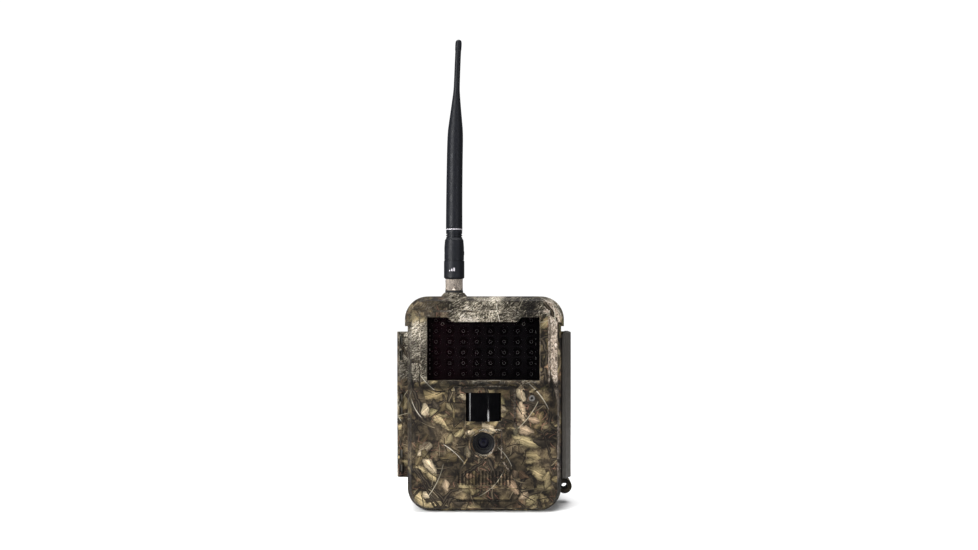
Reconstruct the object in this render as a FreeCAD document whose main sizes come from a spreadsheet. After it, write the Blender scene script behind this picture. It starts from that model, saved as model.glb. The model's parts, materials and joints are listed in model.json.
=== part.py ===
import FreeCAD, Part
import Sketcher
import math
import os

# Trail camera with a folding antenna, in millimetres.
# +X runs to the right of a person who faces the lens, +Y runs out through the back, +Z is up.
# The origin is the mouth of the tripod insert, in the middle of the bottom.
# "Depth" counts from that axis towards the lens side, so depth = -Y.

Vector = FreeCAD.Vector
FULL_TURN = 360
QUARTER = math.pi / 2
CLEAR_THROUGH = 200

DIMENSIONS = [
    # Housing
    ("case_half_width", 50.2),
    ("case_height", 140.0),
    ("case_corner", 15.0),
    ("shoulder_half_width", 52.0),
    ("shoulder_bottom", 120.5),
    ("parting_depth", 14.0),
    ("parting_gap", 0.1),
    ("face_depth", 46.0),
    ("back_depth", -16.0),
    ("bevel_run", 6.0),
    ("bevel_taper", -26.565),
    ("wall", 2.8),
    ("back_wall", 3.0),
    ("rim_lip", 1.5),
    ("gasket_height", 2.0),
    # Clearances
    ("running_gap", 0.06),
    ("loose_gap", 0.15),
    # Raised frame round the LED window
    ("frame_half_width", 42.5),
    ("frame_top", 131.0),
    ("frame_bottom", 81.8),
    ("frame_ear_outer", 31.0),
    ("frame_ear_inner", 26.0),
    ("frame_ear_drop", 4.0),
    ("frame_waist", 20.0),
    ("frame_raise", 1.6),
    ("relief_taper", -38.0),
    ("window_left", 37.2),
    ("window_right", 36.0),
    ("window_bottom", 85.6),
    ("window_top", 126.5),
    ("visor_half_width", 24.0),
    ("visor_tip_half_width", 20.8),
    ("visor_drop", 3.0),
    ("pane_margin", 2.0),
    ("pane_thick", 1.8),
    # Motion sensor bezel, lens pedestal and plaque
    ("bezel_half_width", 20.3),
    ("bezel_bottom", 54.1),
    ("bezel_raise", 1.6),
    ("pir_x", -0.6),
    ("pir_half_width", 11.4),
    ("pir_bottom", 59.2),
    ("pir_top", 77.7),
    ("pir_bulge_radius", 22.4),
    ("pir_front_depth", 49.0),
    ("lens_x", -0.6),
    ("lens_z", 45.0),
    ("pedestal_radius", 11.6),
    ("pedestal_raise", 1.2),
    ("lens_bore", 8.15),
    ("plaque_top", 35.0),
    ("plaque_bottom", 15.3),
    ("plaque_top_half_width", 11.5),
    ("plaque_bottom_half_width", 24.0),
    ("plaque_raise", 1.0),
    ("flute_bottom", 17.8),
    ("flute_top", 27.2),
    ("flute_width", 1.1),
    ("flute_pitch", 2.2),
    ("flute_depth", 0.5),
    ("groove_z", 7.7),
    ("groove_half_width", 17.0),
    ("groove_width", 0.9),
    ("status_x", 30.8),
    ("status_z", 74.1),
    # Hinge on the left side
    ("hinge_x", -56.6),
    ("knuckle_radius", 3.0),
    ("pin_radius", 1.5),
    ("hinge_bottom", 17.2),
    ("hinge_top", 115.9),
    ("hinge_web", 1.5),
    # Latch on the right side
    ("latch_pin_x", 54.0),
    ("latch_pin_depth", 4.0),
    ("latch_inner", 50.6),
    ("latch_front_inner", 51.2),
    ("latch_outer", 57.3),
    ("latch_wall", 2.4),
    ("latch_front_depth", 37.0),
    ("latch_chamfer_across", 3.8),
    ("latch_chamfer_deep", 6.0),
    ("grip_width", 1.2),
    ("grip_depth", 0.5),
    ("latch_bottom", 20.4),
    ("latch_top", 116.3),
    ("latch_lug_height", 5.2),
    ("latch_lug_radius", 2.8),
    # Padlock eye
    ("eye_x", 54.1),
    ("eye_z", 11.6),
    ("eye_radius", 4.95),
    ("eye_hole", 2.1),
    ("eye_thick", 5.0),
    # Antenna
    ("antenna_x", -20.0),
    ("antenna_depth", 34.0),
    ("boss_base_radius", 8.7),
    ("boss_top_radius", 6.6),
    ("boss_top", 142.4),
    ("connector_radius", 3.15),
    ("washer_radius", 5.9),
    ("washer_top", 144.0),
    ("nut_corner_radius", 6.5),
    ("nut_top", 151.4),
    ("base_radius", 6.75),
    ("seam_z", 163.9),
    ("seam_groove", 0.6),
    ("seam_groove_depth", 0.35),
    ("pivot_z", 168.5),
    ("tongue_half_width", 2.2),
    ("tongue_radius", 4.0),
    ("pivot_radius", 1.3),
    ("collar_radius", 6.5),
    ("collar_top_radius", 6.1),
    ("collar_top", 178.1),
    ("neck_radius", 5.35),
    ("neck_groove", 0.7),
    ("neck_groove_depth", 0.55),
    ("ring_bottom", 183.8),
    ("ring_top", 184.4),
    ("ring_radius", 5.5),
    ("tip_bottom", 302.3),
    ("tip_top", 309.4),
    ("tip_lean", 3.0),
    # LEDs
    ("led_pitch_x", 8.9),
    ("led_pitch_z", 7.0),
    ("led_columns", 8),
    ("led_rows", 6),
    ("led_lowest_z", 89.3),
    ("led_shift", 0.5),
    ("led_radius", 2.5),
    ("led_flange", 2.9),
    ("led_board_depth", 30.6),
    ("board_thick", 1.6),
    # Electronics
    ("main_board_depth", 22.4),
    ("main_board_half_width", 39.0),
    ("sensor_board_depth", 27.5),
    ("panel_depth", 16.0),
    ("panel_thick", 2.0),
    ("button_z", 73.0),
    ("button_pitch", 10.5),
    ("button_radius", 3.6),
    ("switch_z", 54.9),
    ("display_z", 109.0),
    ("modem_top", 117.0),
    # Batteries (AA)
    ("cell_radius", 7.15),
    ("cell_length", 49.2),
    ("cell_pitch", 15.2),
    ("cell_depth", -3.3),
    ("tray_half_width", 47.0),
    ("tray_bottom", 13.5),
    ("tray_top", 124.5),
    ("tray_front_depth", 4.0),
    ("tray_wall", 1.2),
    ("bar_bottom", 67.4),
    ("bar_top", 70.7),
    ("lower_cell_z", 15.9),
    ("upper_cell_z", 72.0),
    # Tripod insert, quarter inch with 20 turns to the inch, at its tapped wall
    ("tripod_hole", 2.55),
    ("tripod_depth", 8.0),
    ("insert_radius", 5.0),
    # DC jack
    ("jack_x", 24.0),
    ("jack_radius", 4.0),
    # Strap ribs on the back
    ("rib_inner", 26.0),
    ("rib_outer", 36.0),
    ("rib_bottom", 34.0),
    ("rib_top", 106.0),
    ("rib_raise", 10.0),
    ("strap_bottom", 56.0),
    ("strap_top", 84.0),
    ("strap_gap", 5.4),
]

# Hinge barrels and the windows in them, as (low, high).
REAR_KNUCKLES = ((17.2, 37.6), (58.2, 75.0), (95.0, 115.9))
COVER_KNUCKLES = ((37.9, 57.9), (75.3, 94.7))
HINGE_SLOTS = ((20.8, 25.6), (30.3, 36.0), (59.7, 64.5), (68.6, 73.4), (96.6, 103.4),
               (106.8, 113.1))
# Screws, as (x, z).
PANEL_SCREWS = [(side * 43.0, height) for side in (-1, 1) for height in (14.0, 70.0, 126.0)]
BOARD_SCREWS = [(side * 36.6, height) for side in (-1, 1) for height in (11.0, 58.0)]
SPACERS = ((-27.7, 121.7), (25.9, 121.7))
BOSS_RADIUS = 3.2
STANDOFF_RADIUS = 2.2
SPACER_RADIUS = 1.8
SCREW_HOLE = 1.25
SCREW_SHANK = 1.2
SMALL_SCREW_HOLE = 0.85
# Power pins between the tray and the panel's pads.
POWER_PIN_X = (-31, -25)
POWER_PIN_Z = 69
# Buttons, as steps across and up from the middle one.
BUTTONS = {
    "button_up": (0, 1),
    "button_down": (0, -1),
    "button_left": (-1, 0),
    "button_right": (1, 0),
    "button_ok": (0, 0),
}
CELL_COLUMNS = 6
FLUTES = 16
# Finger grooves down the latch bar's outer face: how far each lies behind the front chamfer.
GRIPS_BEHIND_CHAMFER = (11, 7, 3)
STATUS_HOLE = 1.4
# Gaps between pieces that touch or seat on each other once assembled.
TOUCH = 0.02
SEAT = 0.05

doc = FreeCAD.newDocument("trail_camera")
sheet = doc.addObject("Spreadsheet::Sheet", "Dims")
for row, (alias, number) in enumerate(DIMENSIONS, start=1):
    sheet.set(f"A{row}", alias)
    sheet.set(f"B{row}", str(number))
    sheet.setAlias(f"B{row}", alias)
doc.recompute()


class Size:
    """A length that carries its number and the sheet expression it comes from."""

    def __init__(self, value, text):
        self.value = float(value)
        self.text = text

    def __add__(self, other):
        other = as_size(other)
        return Size(self.value + other.value, f"({self.text} + {other.text})")

    def __sub__(self, other):
        other = as_size(other)
        return Size(self.value - other.value, f"({self.text} - {other.text})")

    def __mul__(self, factor):
        return Size(self.value * factor, f"({self.text} * {factor})")

    def __neg__(self):
        return Size(-self.value, f"(-{self.text})")


def as_size(number):
    if isinstance(number, Size):
        return number
    return Size(number, f"({number})")


class Dims:
    """Gives each cell of the sheet as a Size, by its alias."""

    def __getattr__(self, alias):
        return Size(sheet.get(alias), f"Dims.{alias}")


d = Dims()
AXIS_Z = Vector(0, 0, 1)
# Turns a piece that is drawn along Z so that its length runs along depth.
FORWARD = FreeCAD.Rotation(AXIS_Z, Vector(0, -1, 0))
sub_parts = []


def bind(thing, prop, size):
    thing.setExpression(prop, as_size(size).text)


def keep(thing, label):
    """Marks a document object as a finished sub-part."""
    thing.Label = label
    sub_parts.append(thing)
    return thing


def place(thing, x=0, y=0, z=0, rotation=None):
    thing.Placement = FreeCAD.Placement(Vector(0, 0, 0), rotation or FreeCAD.Rotation())
    for axis, size in (("x", x), ("y", y), ("z", z)):
        bind(thing, f"Placement.Base.{axis}", size)
    return thing


# ---------------------------------------------------------------- PartDesign helpers

def new_body(name):
    return doc.addObject("PartDesign::Body", name + "_body")


def origin_feature(body, role):
    return next(f for f in body.Origin.OriginFeatures if f.Role == role)


def new_sketch(body, role="XZ_Plane", offset=0):
    """A sketch on an origin plane, moved along the plane's normal.

    XZ_Plane looks along depth, so its offset is a depth. XY_Plane's offset is a height.
    """
    sketch = body.newObject("Sketcher::SketchObject", "Sketch")
    sketch.AttachmentSupport = [(origin_feature(body, role), "")]
    sketch.MapMode = "FlatFace"
    bind(sketch, "AttachmentOffset.Base.z", offset)
    return sketch


def fix_point(sketch, geometry, end, x, y):
    for kind, size in (("DistanceX", x), ("DistanceY", y)):
        size = as_size(size)
        index = sketch.addConstraint(Sketcher.Constraint(kind, geometry, end, size.value))
        bind(sketch, f"Constraints[{index}]", size)


def polygon(sketch, points):
    """Closes a ring of straight lines through the points."""
    points = [(as_size(x), as_size(y)) for x, y in points]
    first = sketch.GeometryCount
    corners = [Vector(x.value, y.value, 0) for x, y in points]
    count = len(points)
    for i in range(count):
        sketch.addGeometry(Part.LineSegment(corners[i], corners[(i + 1) % count]), False)
    for i in range(count):
        sketch.addConstraint(
            Sketcher.Constraint("Coincident", first + i, 2, first + (i + 1) % count, 1))
        fix_point(sketch, first + i, 1, *points[i])
    return sketch


def rectangle(sketch, left, right, bottom, top):
    return polygon(sketch, [(left, bottom), (right, bottom), (right, top), (left, top)])


def circle(sketch, x, y, radius):
    x, y, radius = as_size(x), as_size(y), as_size(radius)
    index = sketch.addGeometry(
        Part.Circle(Vector(x.value, y.value, 0), AXIS_Z, radius.value), False)
    fix_point(sketch, index, 3, x, y)
    rule = sketch.addConstraint(Sketcher.Constraint("Radius", index, radius.value))
    bind(sketch, f"Constraints[{rule}]", radius)
    return sketch


def rounded_rectangle(sketch, half_width, bottom, top, radius, round_bottom=True):
    """A rectangle that is centred on X, with rounded corners or rounded top corners only."""
    wide, low, high, bend = half_width.value, bottom.value, top.value, radius.value
    foot = bend if round_bottom else 0.0
    lines = [
        (Vector(-wide + foot, low, 0), Vector(wide - foot, low, 0)),
        (Vector(wide, low + foot, 0), Vector(wide, high - bend, 0)),
        (Vector(wide - bend, high, 0), Vector(-wide + bend, high, 0)),
        (Vector(-wide, high - bend, 0), Vector(-wide, low + foot, 0)),
    ]
    for start, end in lines:
        sketch.addGeometry(Part.LineSegment(start, end), False)
    arcs = [(1, 2, wide - bend, high - bend, 0), (2, 3, -wide + bend, high - bend, 1)]
    if round_bottom:
        arcs += [(3, 0, -wide + bend, low + bend, 2), (0, 1, wide - bend, low + bend, 3)]
    else:
        sketch.addConstraint(Sketcher.Constraint("Coincident", 3, 2, 0, 1))
        sketch.addConstraint(Sketcher.Constraint("Coincident", 0, 2, 1, 1))
    first_arc = None
    for before, after, x, y, turn in arcs:
        ring = Part.Circle(Vector(x, y, 0), AXIS_Z, bend)
        arc = sketch.addGeometry(
            Part.ArcOfCircle(ring, turn * QUARTER, (turn + 1) * QUARTER), False)
        sketch.addConstraint(Sketcher.Constraint("Tangent", before, 2, arc, 1))
        sketch.addConstraint(Sketcher.Constraint("Tangent", arc, 2, after, 1))
        if first_arc is None:
            first_arc = arc
            rule = sketch.addConstraint(Sketcher.Constraint("Radius", arc, bend))
            bind(sketch, f"Constraints[{rule}]", radius)
        else:
            sketch.addConstraint(Sketcher.Constraint("Equal", first_arc, arc))
    for kind, line in (("Horizontal", 0), ("Vertical", 1), ("Horizontal", 2), ("Vertical", 3)):
        sketch.addConstraint(Sketcher.Constraint(kind, line))
    for kind, line, size in (("DistanceY", 0, bottom), ("DistanceX", 1, half_width),
                             ("DistanceY", 2, top), ("DistanceX", 3, -half_width)):
        rule = sketch.addConstraint(Sketcher.Constraint(kind, line, 1, size.value))
        bind(sketch, f"Constraints[{rule}]", size)
    return sketch


def pad(body, sketch, length, taper=None):
    feature = body.newObject("PartDesign::Pad", "Pad")
    feature.Profile = sketch
    bind(feature, "Length", length)
    if taper is not None:
        bind(feature, "TaperAngle", taper)
    return feature


def pocket(body, sketch, length):
    """Cuts from the sketch against its plane's normal, and makes sure that it cuts."""
    doc.recompute()
    before = body.Shape.Volume
    feature = body.newObject("PartDesign::Pocket", "Pocket")
    feature.Profile = sketch
    bind(feature, "Length", length)
    doc.recompute()
    if body.Shape.Volume > before - 1e-3:
        raise RuntimeError(f"{feature.Name} of {body.Name} cuts nothing")
    return feature


def revolve(body, points, domed=False):
    """Turns a (radius, height) outline about the vertical axis.

    With domed, the last point is the shoulder of a quarter-round that ends on the axis.
    """
    sketch = new_sketch(body, "XZ_Plane")
    if not domed:
        polygon(sketch, points)
    else:
        dome_outline(sketch, [(as_size(r), as_size(z)) for r, z in points])
    feature = body.newObject("PartDesign::Revolution", "Revolution")
    feature.Profile = sketch
    feature.ReferenceAxis = (sketch, ["V_Axis"])
    feature.Angle = FULL_TURN
    return feature


def dome_outline(sketch, points):
    shoulder_r, shoulder_z = points[-1]
    top = Vector(0, shoulder_z.value + shoulder_r.value, 0)
    corners = [Vector(r.value, z.value, 0) for r, z in points]
    for i in range(len(points) - 1):
        sketch.addGeometry(Part.LineSegment(corners[i], corners[i + 1]), False)
        fix_point(sketch, i, 1, *points[i])
        if i > 0:
            sketch.addConstraint(Sketcher.Constraint("Coincident", i - 1, 2, i, 1))
    last = len(points) - 2
    fix_point(sketch, last, 2, shoulder_r, shoulder_z)
    ring = Part.Circle(Vector(0, shoulder_z.value, 0), AXIS_Z, shoulder_r.value)
    arc = sketch.addGeometry(Part.ArcOfCircle(ring, 0, QUARTER), False)
    axis = sketch.addGeometry(Part.LineSegment(top, corners[0]), False)
    fix_point(sketch, arc, 3, as_size(0), shoulder_z)
    sketch.addConstraint(Sketcher.Constraint("Coincident", last, 2, arc, 1))
    sketch.addConstraint(Sketcher.Constraint("Coincident", arc, 2, axis, 1))
    sketch.addConstraint(Sketcher.Constraint("Coincident", axis, 2, 0, 1))
    sketch.addConstraint(Sketcher.Constraint("Vertical", axis))


def turned(label, points, x=0, y=0, z=0, forward=False, domed=False):
    """A sub-part that is one turned piece, upright or with its axis along depth."""
    body = new_body(label)
    revolve(body, points, domed)
    place(body, x, y, z, FORWARD if forward else None)
    return keep(body, label)


def row_pattern(body, feature, role, pitch, count):
    pattern = body.newObject("PartDesign::LinearPattern", "Row")
    pattern.Originals = [feature]
    pattern.Direction = (origin_feature(body, role), [""])
    pattern.Mode = "Spacing"
    bind(pattern, "Offset", pitch)
    bind(pattern, "Occurrences", count)
    body.Tip = pattern
    return pattern


# ---------------------------------------------------------------- Part helpers

def box(x0, x1, depth0, depth1, z0, z1, name="Box"):
    """A block between two x values, two depths and two heights, low value first."""
    x0, x1, depth0, depth1, z0, z1 = (as_size(v) for v in (x0, x1, depth0, depth1, z0, z1))
    block = doc.addObject("Part::Box", name)
    bind(block, "Length", x1 - x0)
    bind(block, "Width", depth1 - depth0)
    bind(block, "Height", z1 - z0)
    return place(block, x0, -depth1, z0)


def rod(x, z, depth0, depth1, radius, name="Rod"):
    """A cylinder whose axis runs along depth."""
    depth0, depth1 = as_size(depth0), as_size(depth1)
    bar = doc.addObject("Part::Cylinder", name)
    bind(bar, "Radius", radius)
    bind(bar, "Height", depth1 - depth0)
    return place(bar, x, -depth0, z, FORWARD)


def post(x, depth, z0, z1, radius, name="Post"):
    """An upright cylinder."""
    z0, z1 = as_size(z0), as_size(z1)
    bar = doc.addObject("Part::Cylinder", name)
    bind(bar, "Radius", radius)
    bind(bar, "Height", z1 - z0)
    return place(bar, x, -as_size(depth), z0)


def fuse(pieces, name="Fuse"):
    joined = doc.addObject("Part::MultiFuse", name)
    joined.Shapes = pieces
    return joined


def cut(base, tools, name="Cut"):
    if len(tools) > 1:
        tools = [fuse(tools)]
    result = doc.addObject("Part::Cut", name)
    result.Base = base
    result.Tool = tools[0]
    return result


def common(pieces, name="Common"):
    result = doc.addObject("Part::MultiCommon", name)
    result.Shapes = pieces
    return result


def group(pieces, label):
    """Several separate solids of one kind in one node."""
    several = doc.addObject("Part::Compound", label + "_group")
    several.Links = pieces
    return keep(several, label)


# ---------------------------------------------------------------- Housing

def half_shell(body, rim_depth, face_depth, bevel_first):
    """One half of the housing, still solid: rounded block, upper shoulders, bevelled edge.

    bevel_first is true for the half whose outer face has the smaller depth.
    """
    straight_low = face_depth + d.bevel_run if bevel_first else rim_depth
    straight_high = rim_depth if bevel_first else face_depth - d.bevel_run
    for half_width, bottom, round_bottom in (
            (d.case_half_width, as_size(0), True),
            (d.shoulder_half_width, d.shoulder_bottom, False)):
        block = new_sketch(body, "XZ_Plane", straight_low)
        rounded_rectangle(block, half_width, bottom, d.case_height, d.case_corner, round_bottom)
        pad(body, block, straight_high - straight_low)
        edge = new_sketch(body, "XZ_Plane", straight_low if bevel_first else straight_high)
        rounded_rectangle(edge, half_width, bottom, d.case_height, d.case_corner, round_bottom)
        bevel = pad(body, edge, d.bevel_run, d.bevel_taper)
        bevel.Reversed = bevel_first


def hollow(body, from_depth, length, inset):
    opening = new_sketch(body, "XZ_Plane", from_depth)
    rounded_rectangle(opening, d.case_half_width - inset, as_size(inset),
                      d.case_height - inset, d.case_corner - inset)
    pocket(body, opening, length)


def hinge_knuckles(body, spans, web_low, web_high):
    """Barrels round the hinge pin, each joined to the wall by a web between two depths."""
    for low, high in spans:
        barrel = new_sketch(body, "XY_Plane", low)
        circle(barrel, d.hinge_x, -d.parting_depth, d.knuckle_radius)
        pad(body, barrel, high - low)
        web = new_sketch(body, "XY_Plane", low)
        rectangle(web, d.hinge_x, -d.case_half_width + d.hinge_web, -web_high, -web_low)
        pad(body, web, high - low)
    bore = new_sketch(body, "XY_Plane", d.case_height)
    circle(bore, d.hinge_x, -d.parting_depth, d.pin_radius + d.running_gap)
    pocket(body, bore, CLEAR_THROUGH)


def hinge_flange(body, rim):
    """A strip along the cover's side that closes the corner in front of the rear barrels."""
    strip = new_sketch(body, "XY_Plane", d.hinge_bottom)
    rectangle(strip, d.hinge_x + 2, -d.case_half_width + d.hinge_web,
              -(rim + d.knuckle_radius), -rim)
    pad(body, strip, d.hinge_top - d.hinge_bottom)
    gap = d.loose_gap
    for low, high in spans_of(REAR_KNUCKLES):
        room = new_sketch(body, "XY_Plane", high + gap)
        circle(room, d.hinge_x, -d.parting_depth, d.knuckle_radius + gap)
        pocket(body, room, high - low + gap * 2)


def spans_of(pairs):
    return [(as_size(low), as_size(high)) for low, high in pairs]


def padlock_eye(body, low_depth):
    """A lug at the lower right corner; the two halves' lugs line up when the camera is shut."""
    ring = new_sketch(body, "XZ_Plane", low_depth)
    circle(ring, d.eye_x, d.eye_z, d.eye_radius)
    pad(body, ring, d.eye_thick)
    web = new_sketch(body, "XZ_Plane", low_depth)
    rectangle(web, d.case_half_width - d.wall, d.eye_x, d.eye_z - d.eye_radius * 0.5,
              d.eye_z + d.eye_radius)
    pad(body, web, d.eye_thick)
    hole = new_sketch(body, "XZ_Plane", low_depth + d.eye_thick + 1)
    circle(hole, d.eye_x, d.eye_z, d.eye_hole)
    pocket(body, hole, d.eye_thick + 2)


def front_cover():
    body = new_body("front_cover")
    rim = d.parting_depth + d.parting_gap
    half_shell(body, rim, d.face_depth, False)
    face_relief(body)
    antenna_boss(body)
    padlock_eye(body, rim)
    hollow(body, d.face_depth - d.wall, d.face_depth - d.wall - rim + 1, d.wall)
    cover_bosses(body, rim)
    face_openings(body)
    hinge_flange(body, rim)
    hinge_knuckles(body, spans_of(COVER_KNUCKLES), rim, rim + d.knuckle_radius)
    plain_marks(body)
    return keep(body, "front_cover")


def face_relief(body):
    """Raised frame, bezel, lens pedestal and plaque on the front face."""
    frame = new_sketch(body, "XZ_Plane", d.face_depth)
    right = [
        (d.frame_waist, d.frame_bottom),
        (d.frame_ear_inner, d.frame_bottom - d.frame_ear_drop),
        (d.frame_ear_outer, d.frame_bottom - d.frame_ear_drop),
        (d.frame_half_width, d.frame_bottom),
        (d.frame_half_width, d.frame_top),
    ]
    left = [(-x, z) for x, z in reversed(right)]
    polygon(frame, right + left)
    pad(body, frame, d.frame_raise, d.relief_taper)
    bezel = new_sketch(body, "XZ_Plane", d.face_depth)
    rectangle(bezel, -d.bezel_half_width, d.bezel_half_width, d.bezel_bottom,
              d.frame_bottom + 1)
    pad(body, bezel, d.bezel_raise, d.relief_taper)
    plaque = new_sketch(body, "XZ_Plane", d.face_depth)
    polygon(plaque, [
        (-d.plaque_bottom_half_width, d.plaque_bottom),
        (d.plaque_bottom_half_width, d.plaque_bottom),
        (d.plaque_top_half_width, d.plaque_top),
        (d.plaque_top_half_width, d.bezel_bottom),
        (-d.plaque_top_half_width, d.bezel_bottom),
        (-d.plaque_top_half_width, d.plaque_top),
    ])
    pad(body, plaque, d.plaque_raise, d.relief_taper)
    pedestal = new_sketch(body, "XZ_Plane", d.face_depth)
    circle(pedestal, d.lens_x, d.lens_z, d.pedestal_radius)
    pad(body, pedestal, d.pedestal_raise)


def plain_marks(body):
    """A band of upright flutes on the plaque and a groove below it."""
    flute = new_sketch(body, "XZ_Plane", d.face_depth + d.plaque_raise)
    start = -(d.flute_pitch * ((FLUTES - 1) / 2))
    rectangle(flute, start - d.flute_width * 0.5, start + d.flute_width * 0.5, d.flute_bottom,
              d.flute_top)
    first = pocket(body, flute, d.flute_depth)
    row_pattern(body, first, "X_Axis", d.flute_pitch, as_size(FLUTES))
    groove = new_sketch(body, "XZ_Plane", d.face_depth)
    rectangle(groove, -d.groove_half_width, d.groove_half_width, d.groove_z,
              d.groove_z + d.groove_width)
    pocket(body, groove, d.flute_depth)


def antenna_boss(body):
    """A round boss on the top wall, straight below the top face and coned above it."""
    stem = new_sketch(body, "XY_Plane", d.case_height - 5)
    circle(stem, d.antenna_x, -d.antenna_depth, d.boss_base_radius)
    pad(body, stem, 5)
    cone = body.newObject("PartDesign::AdditiveCone", "Cone")
    cone.AttachmentSupport = [(origin_feature(body, "XY_Plane"), "")]
    cone.MapMode = "FlatFace"
    bind(cone, "AttachmentOffset.Base.x", d.antenna_x)
    bind(cone, "AttachmentOffset.Base.y", -d.antenna_depth)
    bind(cone, "AttachmentOffset.Base.z", d.case_height)
    bind(cone, "Radius1", d.boss_base_radius)
    bind(cone, "Radius2", d.boss_top_radius)
    bind(cone, "Height", d.boss_top - d.case_height)
    bore = new_sketch(body, "XY_Plane", d.boss_top + 1)
    circle(bore, d.antenna_x, -d.antenna_depth, d.connector_radius + d.loose_gap)
    pocket(body, bore, 10)


def cover_bosses(body, rim):
    """Screw bosses for the inner panel and standoffs for the main board."""
    inside = d.face_depth - d.wall
    panel_seat = d.panel_depth + d.panel_thick + SEAT
    board_seat = d.main_board_depth + d.board_thick + SEAT
    for places, radius, seat in ((PANEL_SCREWS, BOSS_RADIUS, panel_seat),
                                 (BOARD_SCREWS, STANDOFF_RADIUS, board_seat)):
        boss = new_sketch(body, "XZ_Plane", seat)
        thread = new_sketch(body, "XZ_Plane", seat + 12)
        for x, z in places:
            circle(boss, x, z, radius)
            circle(thread, x, z, SCREW_HOLE)
        pad(body, boss, inside - seat + 0.5)
        pocket(body, thread, as_size(13))


def face_openings(body):
    """Window, motion sensor, lens and status light openings through the front wall."""
    front = d.face_depth + 5
    through = 9
    openings = new_sketch(body, "XZ_Plane", front)
    polygon(openings, [
        (-d.window_left, d.window_bottom),
        (d.window_right, d.window_bottom),
        (d.window_right, d.window_top),
        (d.visor_half_width, d.window_top),
        (d.visor_tip_half_width, d.window_top - d.visor_drop),
        (-d.visor_tip_half_width, d.window_top - d.visor_drop),
        (-d.visor_half_width, d.window_top),
        (-d.window_left, d.window_top),
    ])
    rectangle(openings, d.pir_x - d.pir_half_width, d.pir_x + d.pir_half_width, d.pir_bottom,
              d.pir_top)
    circle(openings, d.lens_x, d.lens_z, d.lens_bore)
    circle(openings, d.status_x, d.status_z, STATUS_HOLE)
    pocket(body, openings, through)


def rear_case():
    body = new_body("rear_case")
    rim = d.parting_depth - d.parting_gap
    half_shell(body, rim, d.back_depth, True)
    strap_ribs(body)
    padlock_eye(body, rim - d.eye_thick)
    hollow(body, rim + 1, rim + 1 - d.back_depth - d.back_wall, d.back_wall)
    hollow(body, rim + 1, d.gasket_height + 1, d.rim_lip)
    tripod_boss(body)
    jack_port(body)
    hinge_knuckles(body, spans_of(REAR_KNUCKLES), rim - d.knuckle_radius, rim)
    hinge_slots(body)
    latch_lugs(body)
    return keep(body, "rear_case")


def strap_ribs(body):
    """Two upright ribs with a strap slot through each and teeth that grip bark."""
    for side in (-1, 1):
        rib = new_sketch(body, "XY_Plane", d.rib_bottom)
        inner, outer = d.rib_inner * side, d.rib_outer * side
        left, right = (outer, inner) if side < 0 else (inner, outer)
        foot = -(d.back_depth + 1)
        crest = -d.back_depth + d.rib_raise
        polygon(rib, [(left, foot), (right, foot), (right - 1.5, crest), (left + 1.5, crest)])
        pad(body, rib, d.rib_top - d.rib_bottom)
    slot = new_sketch(body, "YZ_Plane", d.case_half_width)
    rectangle(slot, -d.back_depth, -d.back_depth + d.strap_gap, d.strap_bottom, d.strap_top)
    pocket(body, slot, d.case_half_width * 2)
    tooth_pitch = 6.0
    notch = new_sketch(body, "YZ_Plane", d.case_half_width)
    crest = -d.back_depth + d.rib_raise
    low = d.rib_bottom + 2
    polygon(notch, [(crest + 1, low), (crest + 1, low + 4), (crest - 2, low + 2)])
    first = pocket(body, notch, d.case_half_width * 2)
    row_pattern(body, first, "Z_Axis", as_size(tooth_pitch), as_size(12))


def tripod_boss(body):
    outer = new_sketch(body, "XY_Plane", 0)
    circle(outer, 0, 0, d.insert_radius + 3)
    pad(body, outer, d.tray_bottom - 1)
    seat = new_sketch(body, "XY_Plane", d.tray_bottom - 3)
    circle(seat, 0, 0, d.insert_radius + TOUCH)
    pocket(body, seat, d.tray_bottom)


def jack_port(body):
    port = new_sketch(body, "XY_Plane", 5)
    circle(port, d.jack_x, 0, d.jack_radius + 0.1)
    pocket(body, port, 6)
    cap_seat = new_sketch(body, "XY_Plane", 1.7)
    circle(cap_seat, d.jack_x, 0, 6.2)
    pocket(body, cap_seat, 3)


def hinge_slots(body):
    """Windows in the rear knuckles, in front of the pin."""
    slots = new_sketch(body, "XZ_Plane", d.parting_depth + d.knuckle_radius + 1)
    for low, high in HINGE_SLOTS:
        rectangle(slots, d.hinge_x - 1, d.hinge_x + 1, as_size(low), as_size(high))
    pocket(body, slots, d.knuckle_radius + 1)


def latch_lugs(body):
    """Two lugs on the right side that carry the latch pin."""
    low = d.latch_bottom + 0.6
    high = d.latch_top - 0.6 - d.latch_lug_height
    for start in (low, high):
        lug = new_sketch(body, "XY_Plane", start)
        circle(lug, d.latch_pin_x, -d.latch_pin_depth, d.latch_lug_radius)
        pad(body, lug, d.latch_lug_height)
        web = new_sketch(body, "XY_Plane", start)
        rectangle(web, d.case_half_width - d.hinge_web, d.latch_pin_x,
                  -d.latch_pin_depth - d.latch_lug_radius, -d.latch_pin_depth + d.latch_lug_radius)
        pad(body, web, d.latch_lug_height)
    bore = new_sketch(body, "XY_Plane", d.case_height)
    circle(bore, d.latch_pin_x, -d.latch_pin_depth, d.pin_radius + d.running_gap)
    pocket(body, bore, CLEAR_THROUGH)


def case_gasket():
    body = new_body("case_gasket")
    rim = d.parting_depth - d.parting_gap
    ring = new_sketch(body, "XZ_Plane", rim - d.gasket_height + SEAT)
    inset = d.rim_lip + SEAT
    rounded_rectangle(ring, d.case_half_width - inset, as_size(inset), d.case_height - inset,
                      d.case_corner - inset)
    pad(body, ring, d.gasket_height)
    hollow(body, rim + 1, d.gasket_height + 3, d.back_wall)
    keep(body, "case_gasket")


def pins():
    hinge = post(d.hinge_x, d.parting_depth, d.hinge_bottom, d.hinge_top, d.pin_radius)
    keep(hinge, "hinge_pin")
    latch = post(d.latch_pin_x, d.latch_pin_depth, d.latch_bottom + 0.7, d.latch_top - 0.7,
                 d.pin_radius)
    keep(latch, "latch_pin")


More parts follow.
